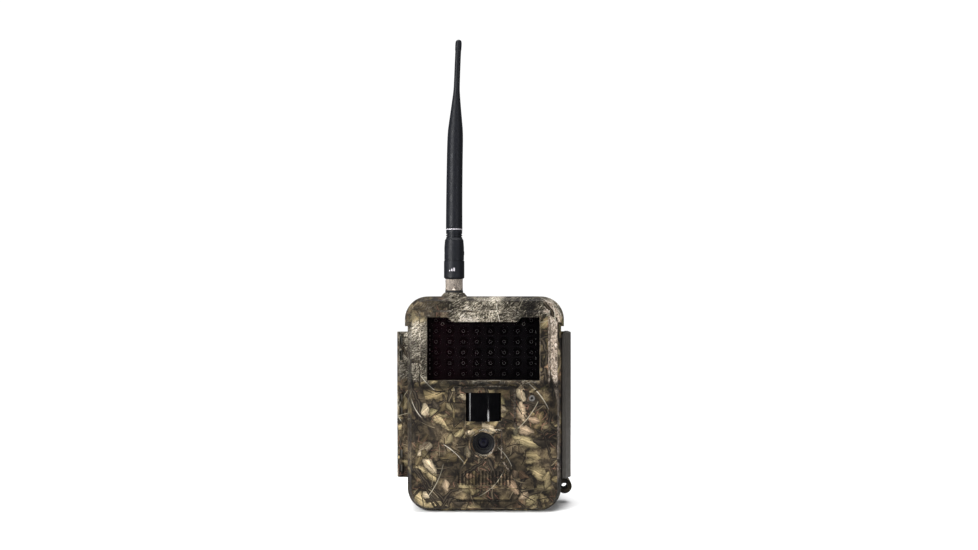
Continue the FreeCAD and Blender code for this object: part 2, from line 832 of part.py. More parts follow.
def latch_bar():
    """A long channel that swings out on its pin at the rear and wraps the cover's side."""
    body = new_body("latch_bar")
    outline = new_sketch(body, "XY_Plane", d.latch_bottom)
    inner_wall = d.latch_outer - d.latch_wall
    lip_depth = d.latch_front_depth - 4
    straight_end = d.latch_front_depth - d.latch_chamfer_deep
    grips = []
    for behind in GRIPS_BEHIND_CHAMFER:
        near = -straight_end + behind
        far = near - d.grip_width
        floor = d.latch_outer - d.grip_depth
        grips += [(d.latch_outer, near), (floor, near), (floor, far), (d.latch_outer, far)]
    polygon(outline, [
        (d.latch_outer, -d.latch_pin_depth),
        *grips,
        (d.latch_outer, -straight_end),
        (d.latch_outer - d.latch_chamfer_across, -d.latch_front_depth),
        (d.latch_front_inner, -d.latch_front_depth),
        (d.latch_front_inner, -lip_depth),
        (d.latch_inner, -lip_depth),
        (d.latch_inner, -lip_depth + 2.5),
        (inner_wall, -lip_depth + 2.5),
        (inner_wall, -d.latch_pin_depth),
    ])
    pad(body, outline, d.latch_top - d.latch_bottom)
    barrel = new_sketch(body, "XY_Plane", d.latch_bottom)
    circle(barrel, d.latch_pin_x, -d.latch_pin_depth, d.knuckle_radius)
    pad(body, barrel, d.latch_top - d.latch_bottom)
    notch_height = d.latch_lug_height + 1.2
    notch_edge = -d.latch_pin_depth - d.knuckle_radius - 1.2
    for top in (d.latch_bottom + notch_height, d.latch_top + 1):
        notch = new_sketch(body, "XY_Plane", top)
        rectangle(notch, d.latch_inner - 1, d.latch_outer + 1, notch_edge, as_size(5))
        pocket(body, notch, notch_height + 1)
    bore = new_sketch(body, "XY_Plane", d.case_height)
    circle(bore, d.latch_pin_x, -d.latch_pin_depth, d.pin_radius + d.running_gap)
    pocket(body, bore, CLEAR_THROUGH)
    corner = new_sketch(body, "XZ_Plane", d.latch_front_depth + 1)
    polygon(corner, [
        (d.latch_inner - 1, d.latch_top - 4),
        (d.latch_front_inner + 2.2, d.latch_top + 1),
        (d.latch_inner - 1, d.latch_top + 1),
    ])
    pocket(body, corner, 8)
    keep(body, "latch_bar")


# ---------------------------------------------------------------- Front optics and LEDs

def led_window():
    low = d.face_depth - d.wall - d.pane_thick - SEAT
    pane = box(-d.window_left - d.pane_margin, d.window_right + d.pane_margin,
               low, low + d.pane_thick, d.window_bottom - d.pane_margin,
               d.window_top + d.pane_margin)
    keep(pane, "led_window")


def led_boards():
    low = d.led_board_depth
    board = box(-38.5, 38.5, low, low + d.board_thick, 84.5, 127.6)
    holes = [rod(x, z, low - 1, low + 3, SMALL_SCREW_HOLE) for x, z in SPACERS]
    keep(cut(board, holes), "led_board")
    base = d.main_board_depth + d.board_thick + SEAT
    spacers = []
    screws = []
    for x, z in SPACERS:
        tube = rod(x, z, base, low - SEAT, SPACER_RADIUS)
        spacers.append(cut(tube, [rod(x, z, base - 1, low, SMALL_SCREW_HOLE)]))
        head = rod(x, z, low + d.board_thick + TOUCH, low + d.board_thick + 1.1, 1.35)
        shank = rod(x, z, base + 0.5, low + d.board_thick + 0.5, SMALL_SCREW_HOLE - SEAT)
        screws.append(fuse([head, shank]))
    group(spacers, "led_spacers")
    group(screws, "led_board_screws")


def led_array():
    """Round-nosed LEDs in a grid; the grid's lower left LED is drawn first."""
    body = new_body("led_array")
    first = revolve(body, [(0, 0), (d.led_flange, 0), (d.led_flange, 1), (d.led_radius, 1),
                           (d.led_radius, 6.1)], domed=True)
    grid = body.newObject("PartDesign::MultiTransform", "Grid")
    grid.Originals = [first]
    steps = []
    for role, pitch, count in (("X_Axis", d.led_pitch_x, d.led_columns),
                               ("Y_Axis", d.led_pitch_z, d.led_rows)):
        step = body.newObject("PartDesign::LinearPattern", "Step")
        step.Direction = (origin_feature(body, role), [""])
        step.Mode = "Spacing"
        bind(step, "Offset", pitch)
        bind(step, "Occurrences", count)
        steps.append(step)
    grid.Transformations = steps
    body.Tip = grid
    place(body, -d.led_pitch_x * 3.5 - d.led_shift, -(d.led_board_depth + d.board_thick + TOUCH),
          d.led_lowest_z, FORWARD)
    keep(body, "led_array")


def pir_parts():
    """Bulged motion sensor lens with a flange behind the wall, and the sensor can."""
    gap = d.loose_gap
    left, right = d.pir_x - d.pir_half_width, d.pir_x + d.pir_half_width
    inside = d.face_depth - d.wall
    block = box(left + gap, right - gap, inside - 0.6, d.pir_front_depth + 1,
                d.pir_bottom + gap, d.pir_top - gap)
    drum = post(d.pir_x, d.pir_front_depth - d.pir_bulge_radius, d.pir_bottom - 1,
                d.pir_top + 1, d.pir_bulge_radius)
    flange = box(left - 2, right + 2, inside - 2, inside - SEAT, d.pir_bottom - 2,
                 d.pir_top + 2)
    keep(fuse([common([block, drum]), flange]), "pir_lens")
    seat = d.sensor_board_depth + d.board_thick + TOUCH
    turned("pir_sensor", [(0, seat), (4.9, seat), (4.9, seat + 0.8), (4.2, seat + 0.8),
                          (4.2, seat + 4.4), (0, seat + 4.4)],
           d.pir_x, 0, (d.pir_bottom + d.pir_top) * 0.5, forward=True)


def lens_parts():
    face = d.face_depth + d.pedestal_raise + TOUCH
    turned("lens_ring", [
        (d.lens_bore - SEAT, d.face_depth - 2), (d.lens_bore - SEAT, face), (9.5, face),
        (9.5, face + 1.0), (8.5, face + 2.1), (7.9, face + 2.1), (7.25, face + 0.4),
        (7.25, d.face_depth - 2)], d.lens_x, 0, d.lens_z, forward=True)
    back = d.sensor_board_depth + d.board_thick + TOUCH
    front = d.face_depth + 0.8
    turned("lens_barrel", [
        (2.7, back), (7.1, back), (7.1, front), (6.5, front), (5.4, front - 0.8),
        (4.7, front - 0.8), (4.1, front - 1.4), (3.6, front - 1.4), (3.6, front - 3.4),
        (2.7, front - 3.4)], d.lens_x, 0, d.lens_z, forward=True)
    glass_back = front - 3.38
    ball = doc.addObject("Part::Sphere", "Ball")
    ball.Radius = 6.0
    place(ball, d.lens_x, -(front - 7.6), d.lens_z)
    stem = rod(d.lens_x, d.lens_z, glass_back, front, 3.5)
    keep(common([ball, stem]), "lens_glass")
    turned("ir_cut_filter", [(0, back + 1.5), (2.6, back + 1.5), (2.6, back + 2.1),
                             (0, back + 2.1)], d.lens_x, 0, d.lens_z, forward=True)


def sensor_board():
    low = d.sensor_board_depth
    high = low + d.board_thick
    board = box(-14, 34.2, low, high, 35, 80)
    chip = box(d.lens_x - 2.2, d.lens_x + 2.2, high, high + 0.9, d.lens_z - 1.6, d.lens_z + 1.6)
    socket = box(16, 30, low - 2.2, low, 40, 45)
    keep(fuse([board, chip, socket]), "sensor_board")
    turned("microphone", [(0, high + TOUCH), (3, high + TOUCH), (3, high + 2.4), (0, high + 2.4)],
           -9, 0, 60, forward=True)


def status_light():
    face = d.face_depth + TOUCH
    turned("status_ring", [
        (1.35, d.face_depth - 3.4), (1.35, face), (2.0, face), (2.0, face + 0.3),
        (1.7, face + 0.6), (0.95, face + 0.6), (0.75, face + 0.2), (0.75, d.face_depth - 3.4)],
        d.status_x, 0, d.status_z, forward=True)
    seat = d.sensor_board_depth + d.board_thick + TOUCH
    turned("status_led", [(0, seat), (1.9, seat), (1.9, seat + 0.9), (1.5, seat + 0.9),
                          (1.5, seat + 5)], d.status_x, 0, d.status_z, forward=True, domed=True)


# ---------------------------------------------------------------- Electronics

def button_place(name):
    across, up = BUTTONS[name]
    return d.button_pitch * across, d.button_z + d.button_pitch * up


def main_board():
    low = d.main_board_depth
    half = d.main_board_half_width
    blank = box(-half, half, low, low + d.board_thick, 6, 131)
    holes = [rod(x, z, low - 1, low + 3, 1.3) for x, z in BOARD_SCREWS]
    plate = cut(blank, holes)
    domes = []
    for name in BUTTONS:
        x, z = button_place(name)
        domes.append(rod(x, z, low - 2.1, low + 0.1, 2.4))
    chips = [
        box(12, 28, low + d.board_thick - 0.1, low + 3, 96, 112),
        box(14, 26, low + d.board_thick - 0.1, low + 2.6, 14, 24),
        box(-6, 6, low - 3.6, low + 0.1, d.switch_z - 2.3, d.switch_z + 2.3),
        box(-30, -20, low - 2.2, low + 0.1, 62, 80),
    ]
    keep(fuse([plate] + domes + chips), "main_board")
    screws = []
    for x, z in BOARD_SCREWS:
        head = rod(x, z, low - 1.3, low - TOUCH, 2.1)
        shank = rod(x, z, low - 0.5, low + 8, SCREW_SHANK)
        screws.append(fuse([head, shank]))
    group(screws, "board_screws")


def modem_module():
    low = d.main_board_depth + d.board_thick + TOUCH
    shield = box(-34, -7, low, low + 2.9, 92, d.modem_top)
    socket = rod(d.antenna_x, d.modem_top - 3, low + 2.8, low + 3.4, 1.3)
    keep(fuse([shield, socket]), "modem_module")


def display():
    low = d.panel_depth + d.panel_thick + 0.1
    keep(box(-23.5, 23.5, low, low + 3.6, d.display_z - 18, d.display_z + 18), "display")


def control_panel():
    """Inner panel that closes the electronics, with openings for all that is used."""
    body = new_body("control_panel")
    front = d.panel_depth
    plate = new_sketch(body, "XZ_Plane", front)
    inset = 3.2
    rounded_rectangle(plate, d.case_half_width - inset, as_size(inset), d.case_height - inset,
                      d.case_corner - inset)
    pad(body, plate, d.panel_thick)
    behind = front + d.panel_thick + 1
    cuts = new_sketch(body, "XZ_Plane", behind)
    rectangle(cuts, -20.5, 20.5, d.display_z - 15.5, d.display_z + 15.5)
    rectangle(cuts, -26, 32, as_size(10), as_size(50))
    rectangle(cuts, -11, 11, d.switch_z - 1.5, d.switch_z + 1.5)
    for name in BUTTONS:
        circle(cuts, *button_place(name), d.button_radius + d.loose_gap)
    for x, z in PANEL_SCREWS:
        circle(cuts, x, z, 1.4)
    pocket(body, cuts, d.panel_thick + 2)
    keep(body, "control_panel")
    pads = [rod(x, POWER_PIN_Z, front - 0.3, front - TOUCH, 1.8) for x in POWER_PIN_X]
    group(pads, "contact_pads")
    screws = []
    for x, z in PANEL_SCREWS:
        head = rod(x, z, front - 1.2, front - TOUCH, 2.6)
        shank = rod(x, z, front - 0.6, front + 8, SCREW_SHANK)
        slot = box(x - 0.35, x + 0.35, front - 1.7, front - 0.8, z - 1.8, z + 1.8)
        screws.append(cut(fuse([head, shank]), [slot]))
    group(screws, "panel_screws")


def buttons():
    for name in BUTTONS:
        x, z = button_place(name)
        top = d.panel_depth - 1.1
        flange = d.panel_depth + d.panel_thick + 0.2
        cap = rod(x, z, top, flange + 0.7, d.button_radius)
        foot = rod(x, z, flange, flange + 0.7, d.button_radius + 1)
        keep(fuse([cap, foot]), name)


def mode_switch():
    top = d.panel_depth - 1.1
    under = d.panel_depth + d.panel_thick + 0.1
    knob = box(-2.4, 2.4, top, under + 0.3, d.switch_z - 1.3, d.switch_z + 1.3)
    plate = box(-3.2, 3.2, under, under + 0.5, d.switch_z - 2.2, d.switch_z + 2.2)
    keep(fuse([knob, plate]), "mode_switch")


def card_sockets():
    """Thin metal sockets on the main board with a card in each."""
    high = d.main_board_depth - TOUCH
    low = high - 3.2
    sockets = (
        ("sd_socket", "sd_card", -25.0, 3.0, 37.0, 12.0, 32.0, 2.1),
        ("sim_socket", "sim_card", 10.0, 29.0, 26.0, 7.5, 25.0, 0.8),
    )
    for socket_name, card_name, left, right, top, half, length, thick in sockets:
        middle = (left + right) / 2
        shell = box(left, right, low, high, 12, top)
        card_low = low + 0.7
        room = box(middle - half - 0.2, middle + half + 0.2, card_low - 0.1,
                   card_low + thick + 0.1, 12.8, top + 1)
        keep(cut(shell, [room]), socket_name)
        card = box(middle - half, middle + half, card_low, card_low + thick, 14, 14 + length)
        keep(card, card_name)


def usb_port():
    high = d.main_board_depth - TOUCH
    shell = box(14, 24, high - 4, high, 44, 49.6)
    mouth = box(15, 23, high - 5, high - 1, 45, 48.6)
    tongue = box(16.5, 21.5, high - 3.2, high - 0.5, 46.4, 47.2)
    keep(fuse([cut(shell, [mouth]), tongue]), "usb_port")


# ---------------------------------------------------------------- Power

def battery_tray():
    """Open tray with a bar between its two rows and ribs between the cells."""
    half = d.tray_half_width
    back = d.back_depth + d.back_wall + 0.1
    blank = box(-half, half, back, d.tray_front_depth, d.tray_bottom, d.tray_top)
    floor = back + 1.4
    inner = half - d.tray_wall
    lower_room = box(-inner, inner, floor, 30, d.tray_bottom + d.tray_wall, d.bar_bottom)
    upper_room = box(-inner, inner, floor, 30, d.bar_top, d.tray_top - d.tray_wall)
    ribs = []
    for index in range(-2, 3):
        x = d.cell_pitch * index
        ribs.append(box(x - 0.35, x + 0.35, floor - 0.5, floor + 2.4, d.tray_bottom, d.tray_top))
    left, right = POWER_PIN_X
    contact_post = box(left - 3, right + 3, d.tray_front_depth - 1, d.parting_depth - 1.2,
                       d.bar_bottom, d.bar_top)
    tray = fuse([cut(blank, [lower_room, upper_room])] + ribs + [contact_post])
    pin = 1.0
    holes = [rod(x, POWER_PIN_Z, 5, 20, pin + 0.1) for x in POWER_PIN_X]
    keep(cut(tray, holes), "battery_tray")
    pins_out = [rod(x, POWER_PIN_Z, 5.2, d.panel_depth - 0.4, pin) for x in POWER_PIN_X]
    group(pins_out, "power_pins")


def one_cell(x, z0, points_up):
    """An AA cell, turned, with its contact button at the top or the bottom."""
    body = new_body("cell")
    z1 = z0 + d.cell_length
    r = d.cell_radius
    if points_up:
        outline = [(0, z0), (r, z0), (r, z1), (2.7, z1), (2.7, z1 + 1), (0, z1 + 1)]
    else:
        z1 = z1 + 1
        outline = [(0, z0), (2.7, z0), (2.7, z0 + 1), (r, z0 + 1), (r, z1), (0, z1)]
    revolve(body, outline)
    return place(body, x, -d.cell_depth, 0)


def batteries():
    springs = []
    plates = []
    for label, z0 in (("batteries_lower", d.lower_cell_z), ("batteries_upper", d.upper_cell_z)):
        cells = []
        top = z0 + d.cell_length + 1
        for column in range(CELL_COLUMNS):
            x = d.cell_pitch * (column - (CELL_COLUMNS - 1) / 2)
            points_up = column % 2 == 0
            cells.append(one_cell(x, z0, points_up))
            spring_z = z0 - 1.1 if points_up else top + SEAT
            plate_z = top + SEAT if points_up else z0 - 0.55
            springs.append(contact_spring(x, spring_z, points_up))
            plates.append(box(x - 4.5, x + 4.5, d.cell_depth - 5, d.cell_depth + 5, plate_z,
                              plate_z + 0.5))
        group(cells, label)
    group(springs, "battery_springs")
    group(plates, "battery_plates")


def contact_spring(x, z, wide_below):
    """A squeezed conical spring, as the stepped cone of its turns."""
    wide, narrow, rise = 4.6, 3.0, 0.52
    radii = (wide, narrow) if wide_below else (narrow, wide)
    body = new_body("spring")
    first, second = radii
    revolve(body, [(1.4, 0), (first, 0), (first, rise), (second, rise), (second, rise * 2),
                   (1.4, rise * 2)])
    return place(body, x, -d.cell_depth, z)


def dc_jack():
    turned("dc_jack", [(2.8, 1.75), (d.jack_radius, 1.75), (d.jack_radius, 12), (0, 12),
                       (0, 3), (0.9, 3), (0.9, 10.5), (2.8, 10.5)], d.jack_x, 0, 0)
    turned("dc_plug", [(0, 0.2), (5.9, 0.2), (5.9, 1.6), (2.65, 1.6), (2.65, 7), (1.1, 7),
                       (1.1, 1.8), (0, 1.8)], d.jack_x, 0, 0)


def tripod_insert():
    height = d.tray_bottom - 3.1
    turned("tripod_insert", [(d.tripod_hole, 0), (d.insert_radius, 0),
                             (d.insert_radius, height), (0, height), (0, d.tripod_depth),
                             (d.tripod_hole, d.tripod_depth)])


# ---------------------------------------------------------------- Antenna

def antenna_lower():
    x, y = d.antenna_x, -d.antenna_depth
    wall_in = d.case_height - d.wall
    thread = d.connector_radius
    mouth = d.nut_top - 2.1
    turned("antenna_connector", [
        (0, wall_in - 3.2), (2.4, wall_in - 3.2), (2.4, wall_in - 2.6), (6, wall_in - 2.6),
        (6, wall_in - SEAT), (thread, wall_in - SEAT), (thread, mouth), (2.3, mouth),
        (2.3, mouth - 3.6), (0.5, mouth - 3.6), (0.5, mouth - 0.6), (0, mouth - 0.6)], x, y)
    bore = d.connector_radius + d.loose_gap
    turned("connector_washer", [(bore, d.boss_top + TOUCH), (d.washer_radius, d.boss_top + TOUCH),
                                (d.washer_radius, d.washer_top - SEAT),
                                (bore, d.washer_top - SEAT)], x, y)
    antenna_nut(x, y, bore)
    antenna_base(x, y)


def antenna_nut(x, y, bore):
    prism = doc.addObject("Part::Prism", "Hexagon")
    prism.Polygon = 6
    bind(prism, "Circumradius", d.nut_corner_radius)
    bind(prism, "Height", d.nut_top - d.washer_top - 0.1)
    corner_in_front = FreeCAD.Rotation(AXIS_Z, 90)
    place(prism, x, y, d.washer_top, corner_in_front)
    taper = doc.addObject("Part::Cone", "Chamfer")
    bind(taper, "Radius1", d.nut_corner_radius - 0.7)
    bind(taper, "Radius2", d.nut_corner_radius + 3.3)
    bind(taper, "Height", as_size(9))
    place(taper, x, y, d.washer_top - 0.1)
    depth = -y
    tools = [
        post(x, depth, d.washer_top - 1, d.nut_top - 1.9, bore),
        post(x, depth, d.nut_top - 2.0, d.nut_top - 0.7, 4.2),
        post(x, depth, d.nut_top - 1.0, d.nut_top + 1, 3.0),
    ]
    keep(cut(common([prism, taper]), tools), "antenna_nut")


def antenna_base(x, y):
    """Lower collar on the coupling nut, with the tongue that the antenna folds about."""
    body = new_body("antenna_base")
    r = d.base_radius
    foot = d.nut_top + SEAT
    seam = d.seam_z - 0.1
    groove = d.seam_z - d.seam_groove
    rebate = r - d.seam_groove_depth
    pin_hole, plug, flange, neck = 0.7, 1.9, 4.05, 2.9
    plug_end, flange_low, flange_high = foot - 4.0, foot - 1.9, foot - 0.9
    revolve(body, [
        (pin_hole, plug_end), (plug, plug_end), (plug, flange_low), (flange, flange_low),
        (flange, flange_high), (neck, flange_high), (neck, foot), (r - 1, foot), (r, foot + 1),
        (r, groove), (rebate, groove), (rebate, seam), (0, seam), (0, foot + 1),
        (pin_hole, foot + 1)])
    tongue = new_sketch(body, "YZ_Plane", -d.tongue_half_width)
    reach = d.tongue_radius
    rectangle(tongue, -reach, reach, seam - 1, d.pivot_z)
    pad(body, tongue, d.tongue_half_width * 2)
    head = new_sketch(body, "YZ_Plane", -d.tongue_half_width)
    circle(head, 0, d.pivot_z, reach)
    pad(body, head, d.tongue_half_width * 2)
    pivot_bore(body, d.running_gap)
    place(body, x, y, 0)
    keep(body, "antenna_base")


def pivot_bore(body, gap):
    """The hole across the antenna's hinge, wider than the pin by the gap all round."""
    beyond = d.collar_radius + 3
    bore = new_sketch(body, "YZ_Plane", beyond)
    circle(bore, 0, d.pivot_z, d.pivot_radius + gap)
    pocket(body, bore, beyond * 2)


def antenna_knuckle():
    """Upper collar: round in front, flat and rounded at the back so that it can fold back."""
    body = new_body("antenna_knuckle")
    r = d.collar_radius
    neck = d.neck_radius
    root = neck - d.neck_groove_depth
    cone_start = d.pivot_z + 3.7
    outline = [(0, d.seam_z), (r, d.seam_z), (r, cone_start),
               (d.collar_top_radius, d.collar_top - 1), (neck, d.collar_top + 0.2)]
    for above in (1.0, 2.5):
        low = d.collar_top + above
        high = low + d.neck_groove
        outline += [(neck, low), (root, low), (root, high), (neck, high)]
    outline += [(neck, d.ring_bottom - TOUCH), (0, d.ring_bottom - TOUCH)]
    revolve(body, outline)
    swing = 4.3
    beyond = d.collar_radius + 3
    below = d.seam_z - 1
    step = d.pivot_z + 7.2
    back = new_sketch(body, "YZ_Plane", beyond)
    rectangle(back, swing, beyond, below, step)
    pocket(body, back, beyond * 2)
    heel = new_sketch(body, "YZ_Plane", beyond)
    round_heel(heel, as_size(swing))
    pocket(body, heel, beyond * 2)
    side_gap = 0.25
    room = 4.6
    slot = new_sketch(body, "YZ_Plane", d.tongue_half_width + side_gap)
    rectangle(slot, -(room + 0.2), d.collar_radius + 1.5, below, d.pivot_z + room)
    pocket(body, slot, (d.tongue_half_width + side_gap) * 2)
    pivot_bore(body, TOUCH)
    place(body, d.antenna_x, -d.antenna_depth, 0)
    keep(body, "antenna_knuckle")
    pivot_pin()


def pivot_pin():
    """Ends just inside the collar on the left and stands a little proud on the right."""
    inset, proud = 0.4, 0.15
    pin = doc.addObject("Part::Cylinder", "PivotPin")
    bind(pin, "Radius", d.pivot_radius)
    bind(pin, "Height", d.collar_radius * 2 - inset + proud)
    across = FreeCAD.Rotation(AXIS_Z, Vector(1, 0, 0))
    place(pin, d.antenna_x - d.collar_radius + inset, -d.antenna_depth, d.pivot_z, across)
    keep(pin, "antenna_pivot_pin")


def round_heel(sketch, radius):
    """What is cut from the back lower corner to leave it round about the pivot."""
    pivot, bottom = d.pivot_z, d.seam_z - 1
    outside = radius + 1
    ring = Part.Circle(Vector(0, pivot.value, 0), AXIS_Z, radius.value)
    arc = sketch.addGeometry(Part.ArcOfCircle(ring, 3 * QUARTER, 4 * QUARTER), False)
    corners = [(radius, pivot), (outside, pivot), (outside, bottom), (as_size(0), bottom),
               (as_size(0), pivot - radius)]
    points = [Vector(y.value, z.value, 0) for y, z in corners]
    for start, end in zip(points, points[1:]):
        sketch.addGeometry(Part.LineSegment(start, end), False)
    fix_point(sketch, arc, 3, 0, pivot)
    for line, (y, z) in enumerate(corners[:-1], start=1):
        fix_point(sketch, line, 1, y, z)
        if line > 1:
            sketch.addConstraint(Sketcher.Constraint("Coincident", line - 1, 2, line, 1))
    sketch.addConstraint(Sketcher.Constraint("Coincident", arc, 2, 1, 1))
    sketch.addConstraint(Sketcher.Constraint("Coincident", arc, 1, 4, 2))
    sketch.addConstraint(Sketcher.Constraint("Vertical", 4))


def lean_at(height):
    """Sideways lean of the whip: it grows with the square of the height above the ring."""
    reach = (d.tip_top - d.ring_top).value
    share = (height - d.ring_top.value) / reach
    return d.tip_lean * (share * share)


def whip_loft(label, stations):
    """A leaning loft through circles, each given by its height and radius."""
    body = new_body(label)
    rings = []
    for height, radius in stations:
        ring = new_sketch(body, "XY_Plane", height)
        circle(ring, lean_at(height), 0, radius)
        rings.append(ring)
    loft = body.newObject("PartDesign::AdditiveLoft", "Loft")
    loft.Profile = rings[0]
    loft.Sections = rings[1:]
    loft.Ruled = True
    place(body, d.antenna_x, -d.antenna_depth, 0)
    return keep(body, label)


def antenna_whip():
    """Pale ring, then the sleeve: a slow taper, a steeper one, and a thin straight end."""
    turned("antenna_ring", [(0, d.ring_bottom), (d.ring_radius, d.ring_bottom),
                            (d.ring_radius, d.ring_top), (0, d.ring_top)],
           d.antenna_x, -d.antenna_depth)
    start, end = d.ring_top.value + TOUCH, d.tip_bottom.value - TOUCH
    whip_loft("antenna_sleeve", [
        (start, 5.45), (206.0, 5.36), (227.0, 5.27), (243.0, 5.2), (249.5, 5.0), (255.0, 4.35),
        (262.0, 3.57), (269.0, 2.79), (276.0, 2.1), (283.0, 1.97), (292.0, 1.93), (end, 1.93)])
    low, high = d.tip_bottom.value, d.tip_top.value
    whip_loft("antenna_tip", [(low, 2.1), (high - 2.2, 2.1), (high - 0.7, 1.7), (high, 0.9)])


def antenna_pigtail():
    """Thin coaxial lead from the connector over the LED board and down to the modem."""
    body = new_body("antenna_pigtail")
    bend = 4.0
    start = d.case_height - d.wall - 3.25
    low = start - bend
    front = -d.antenna_depth
    path = new_sketch(body, "YZ_Plane", d.antenna_x)
    y0, z0, z1 = front.value, start.value, low.value
    first = Part.Circle(Vector(y0 + bend, z0, 0), AXIS_Z, bend)
    second = Part.Circle(Vector(y0 + bend, z1 - bend, 0), AXIS_Z, bend)
    path.addGeometry(Part.ArcOfCircle(first, 2 * QUARTER, 3 * QUARTER), False)
    path.addGeometry(Part.ArcOfCircle(second, 0, QUARTER), False)
    end = Vector(y0 + 2 * bend, z1 - bend, 0)
    modem_edge = Vector(end.x, (d.modem_top + SEAT).value, 0)
    path.addGeometry(Part.LineSegment(end, modem_edge), False)
    ring = new_sketch(body, "XY_Plane", start)
    circle(ring, d.antenna_x, front, 0.6)
    pipe = body.newObject("PartDesign::AdditivePipe", "Pipe")
    pipe.Profile = ring
    pipe.Spine = (path, ["Edge1", "Edge2", "Edge3"])
    keep(body, "antenna_pigtail")


def build():
    front_cover()
    rear_case()
    case_gasket()
    pins()
    latch_bar()
    led_window()
    led_boards()
    led_array()
    pir_parts()
    lens_parts()
    sensor_board()
    status_light()
    main_board()
    modem_module()
    display()
    control_panel()
    buttons()
    mode_switch()
    card_sockets()
    usb_port()
    battery_tray()
    batteries()
    dc_jack()
    tripod_insert()
    antenna_lower()
    antenna_knuckle()
    antenna_whip()
    antenna_pigtail()


def check_and_write():
    doc.recompute()
    broken = [o.Name for o in doc.Objects if "Invalid" in o.State or "Error" in o.State]
    broken += [s.Label for s in sub_parts if s.Shape.isNull() or not s.Shape.isValid()]
    if broken:
        raise RuntimeError(f"These objects failed: {broken}")
    os.makedirs("parts", exist_ok=True)
    for thing in sub_parts:
        thing.Shape.exportStep(f"parts/{thing.Label}.step")
        print(f"{thing.Label}: {len(thing.Shape.Solids)} solids, {thing.Shape.Volume:.0f} mm3")


build()
check_and_write()
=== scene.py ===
import json
import math

import bmesh
import bpy
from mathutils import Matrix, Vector


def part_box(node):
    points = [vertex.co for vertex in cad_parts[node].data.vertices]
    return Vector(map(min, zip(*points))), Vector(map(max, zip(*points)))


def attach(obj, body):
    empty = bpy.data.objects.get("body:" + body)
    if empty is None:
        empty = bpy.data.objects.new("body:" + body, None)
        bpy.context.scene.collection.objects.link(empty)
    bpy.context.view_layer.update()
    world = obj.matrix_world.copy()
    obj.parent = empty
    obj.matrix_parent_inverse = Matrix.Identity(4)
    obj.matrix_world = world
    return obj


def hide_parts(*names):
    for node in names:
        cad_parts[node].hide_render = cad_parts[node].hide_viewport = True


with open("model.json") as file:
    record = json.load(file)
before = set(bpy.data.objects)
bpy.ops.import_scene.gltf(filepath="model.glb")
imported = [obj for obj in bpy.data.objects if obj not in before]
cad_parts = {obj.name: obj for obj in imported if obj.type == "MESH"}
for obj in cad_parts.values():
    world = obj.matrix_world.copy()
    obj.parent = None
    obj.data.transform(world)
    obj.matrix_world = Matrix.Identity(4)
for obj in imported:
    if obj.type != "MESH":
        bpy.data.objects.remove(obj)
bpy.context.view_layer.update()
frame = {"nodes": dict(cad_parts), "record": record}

MM = 0.001
NODES = frame["nodes"]
SLOT_OF = {part["node"]: part["material_slot"] for part in frame["record"]["subparts"]}


# ---------------------------------------------------------------- shader graphs

class Value:
    """A socket that can be used in plain arithmetic; every operation adds a Math node."""

    def __init__(self, graph, socket):
        self.graph = graph
        self.socket = socket

    def __add__(self, other):
        return self.graph.math("ADD", self, other)

    def __sub__(self, other):
        return self.graph.math("SUBTRACT", self, other)

    def __rsub__(self, other):
        return self.graph.math("SUBTRACT", other, self)

    def __mul__(self, other):
        return self.graph.math("MULTIPLY", self, other)

    def __truediv__(self, other):
        return self.graph.math("DIVIDE", self, other)

    def __abs__(self):
        return self.graph.math("ABSOLUTE", self)

    __radd__ = __add__
    __rmul__ = __mul__

    def above(self, limit):
        return self.graph.math("GREATER_THAN", self, limit)

    def below(self, limit):
        return self.graph.math("LESS_THAN", self, limit)

    def least(self, other):
        return self.graph.math("MINIMUM", self, other)

    def most(self, other):
        return self.graph.math("MAXIMUM", self, other)

    def step(self, low, high, to_low=0.0, to_high=1.0):
        """Smooth change from to_low at low to to_high at high."""
        made = self.graph.node("MapRange", interpolation_type="SMOOTHSTEP")
        for socket, value in zip(made.inputs, (self, low, high, to_low, to_high)):
            self.graph.put(socket, value)
        return Value(self.graph, made.outputs[0])


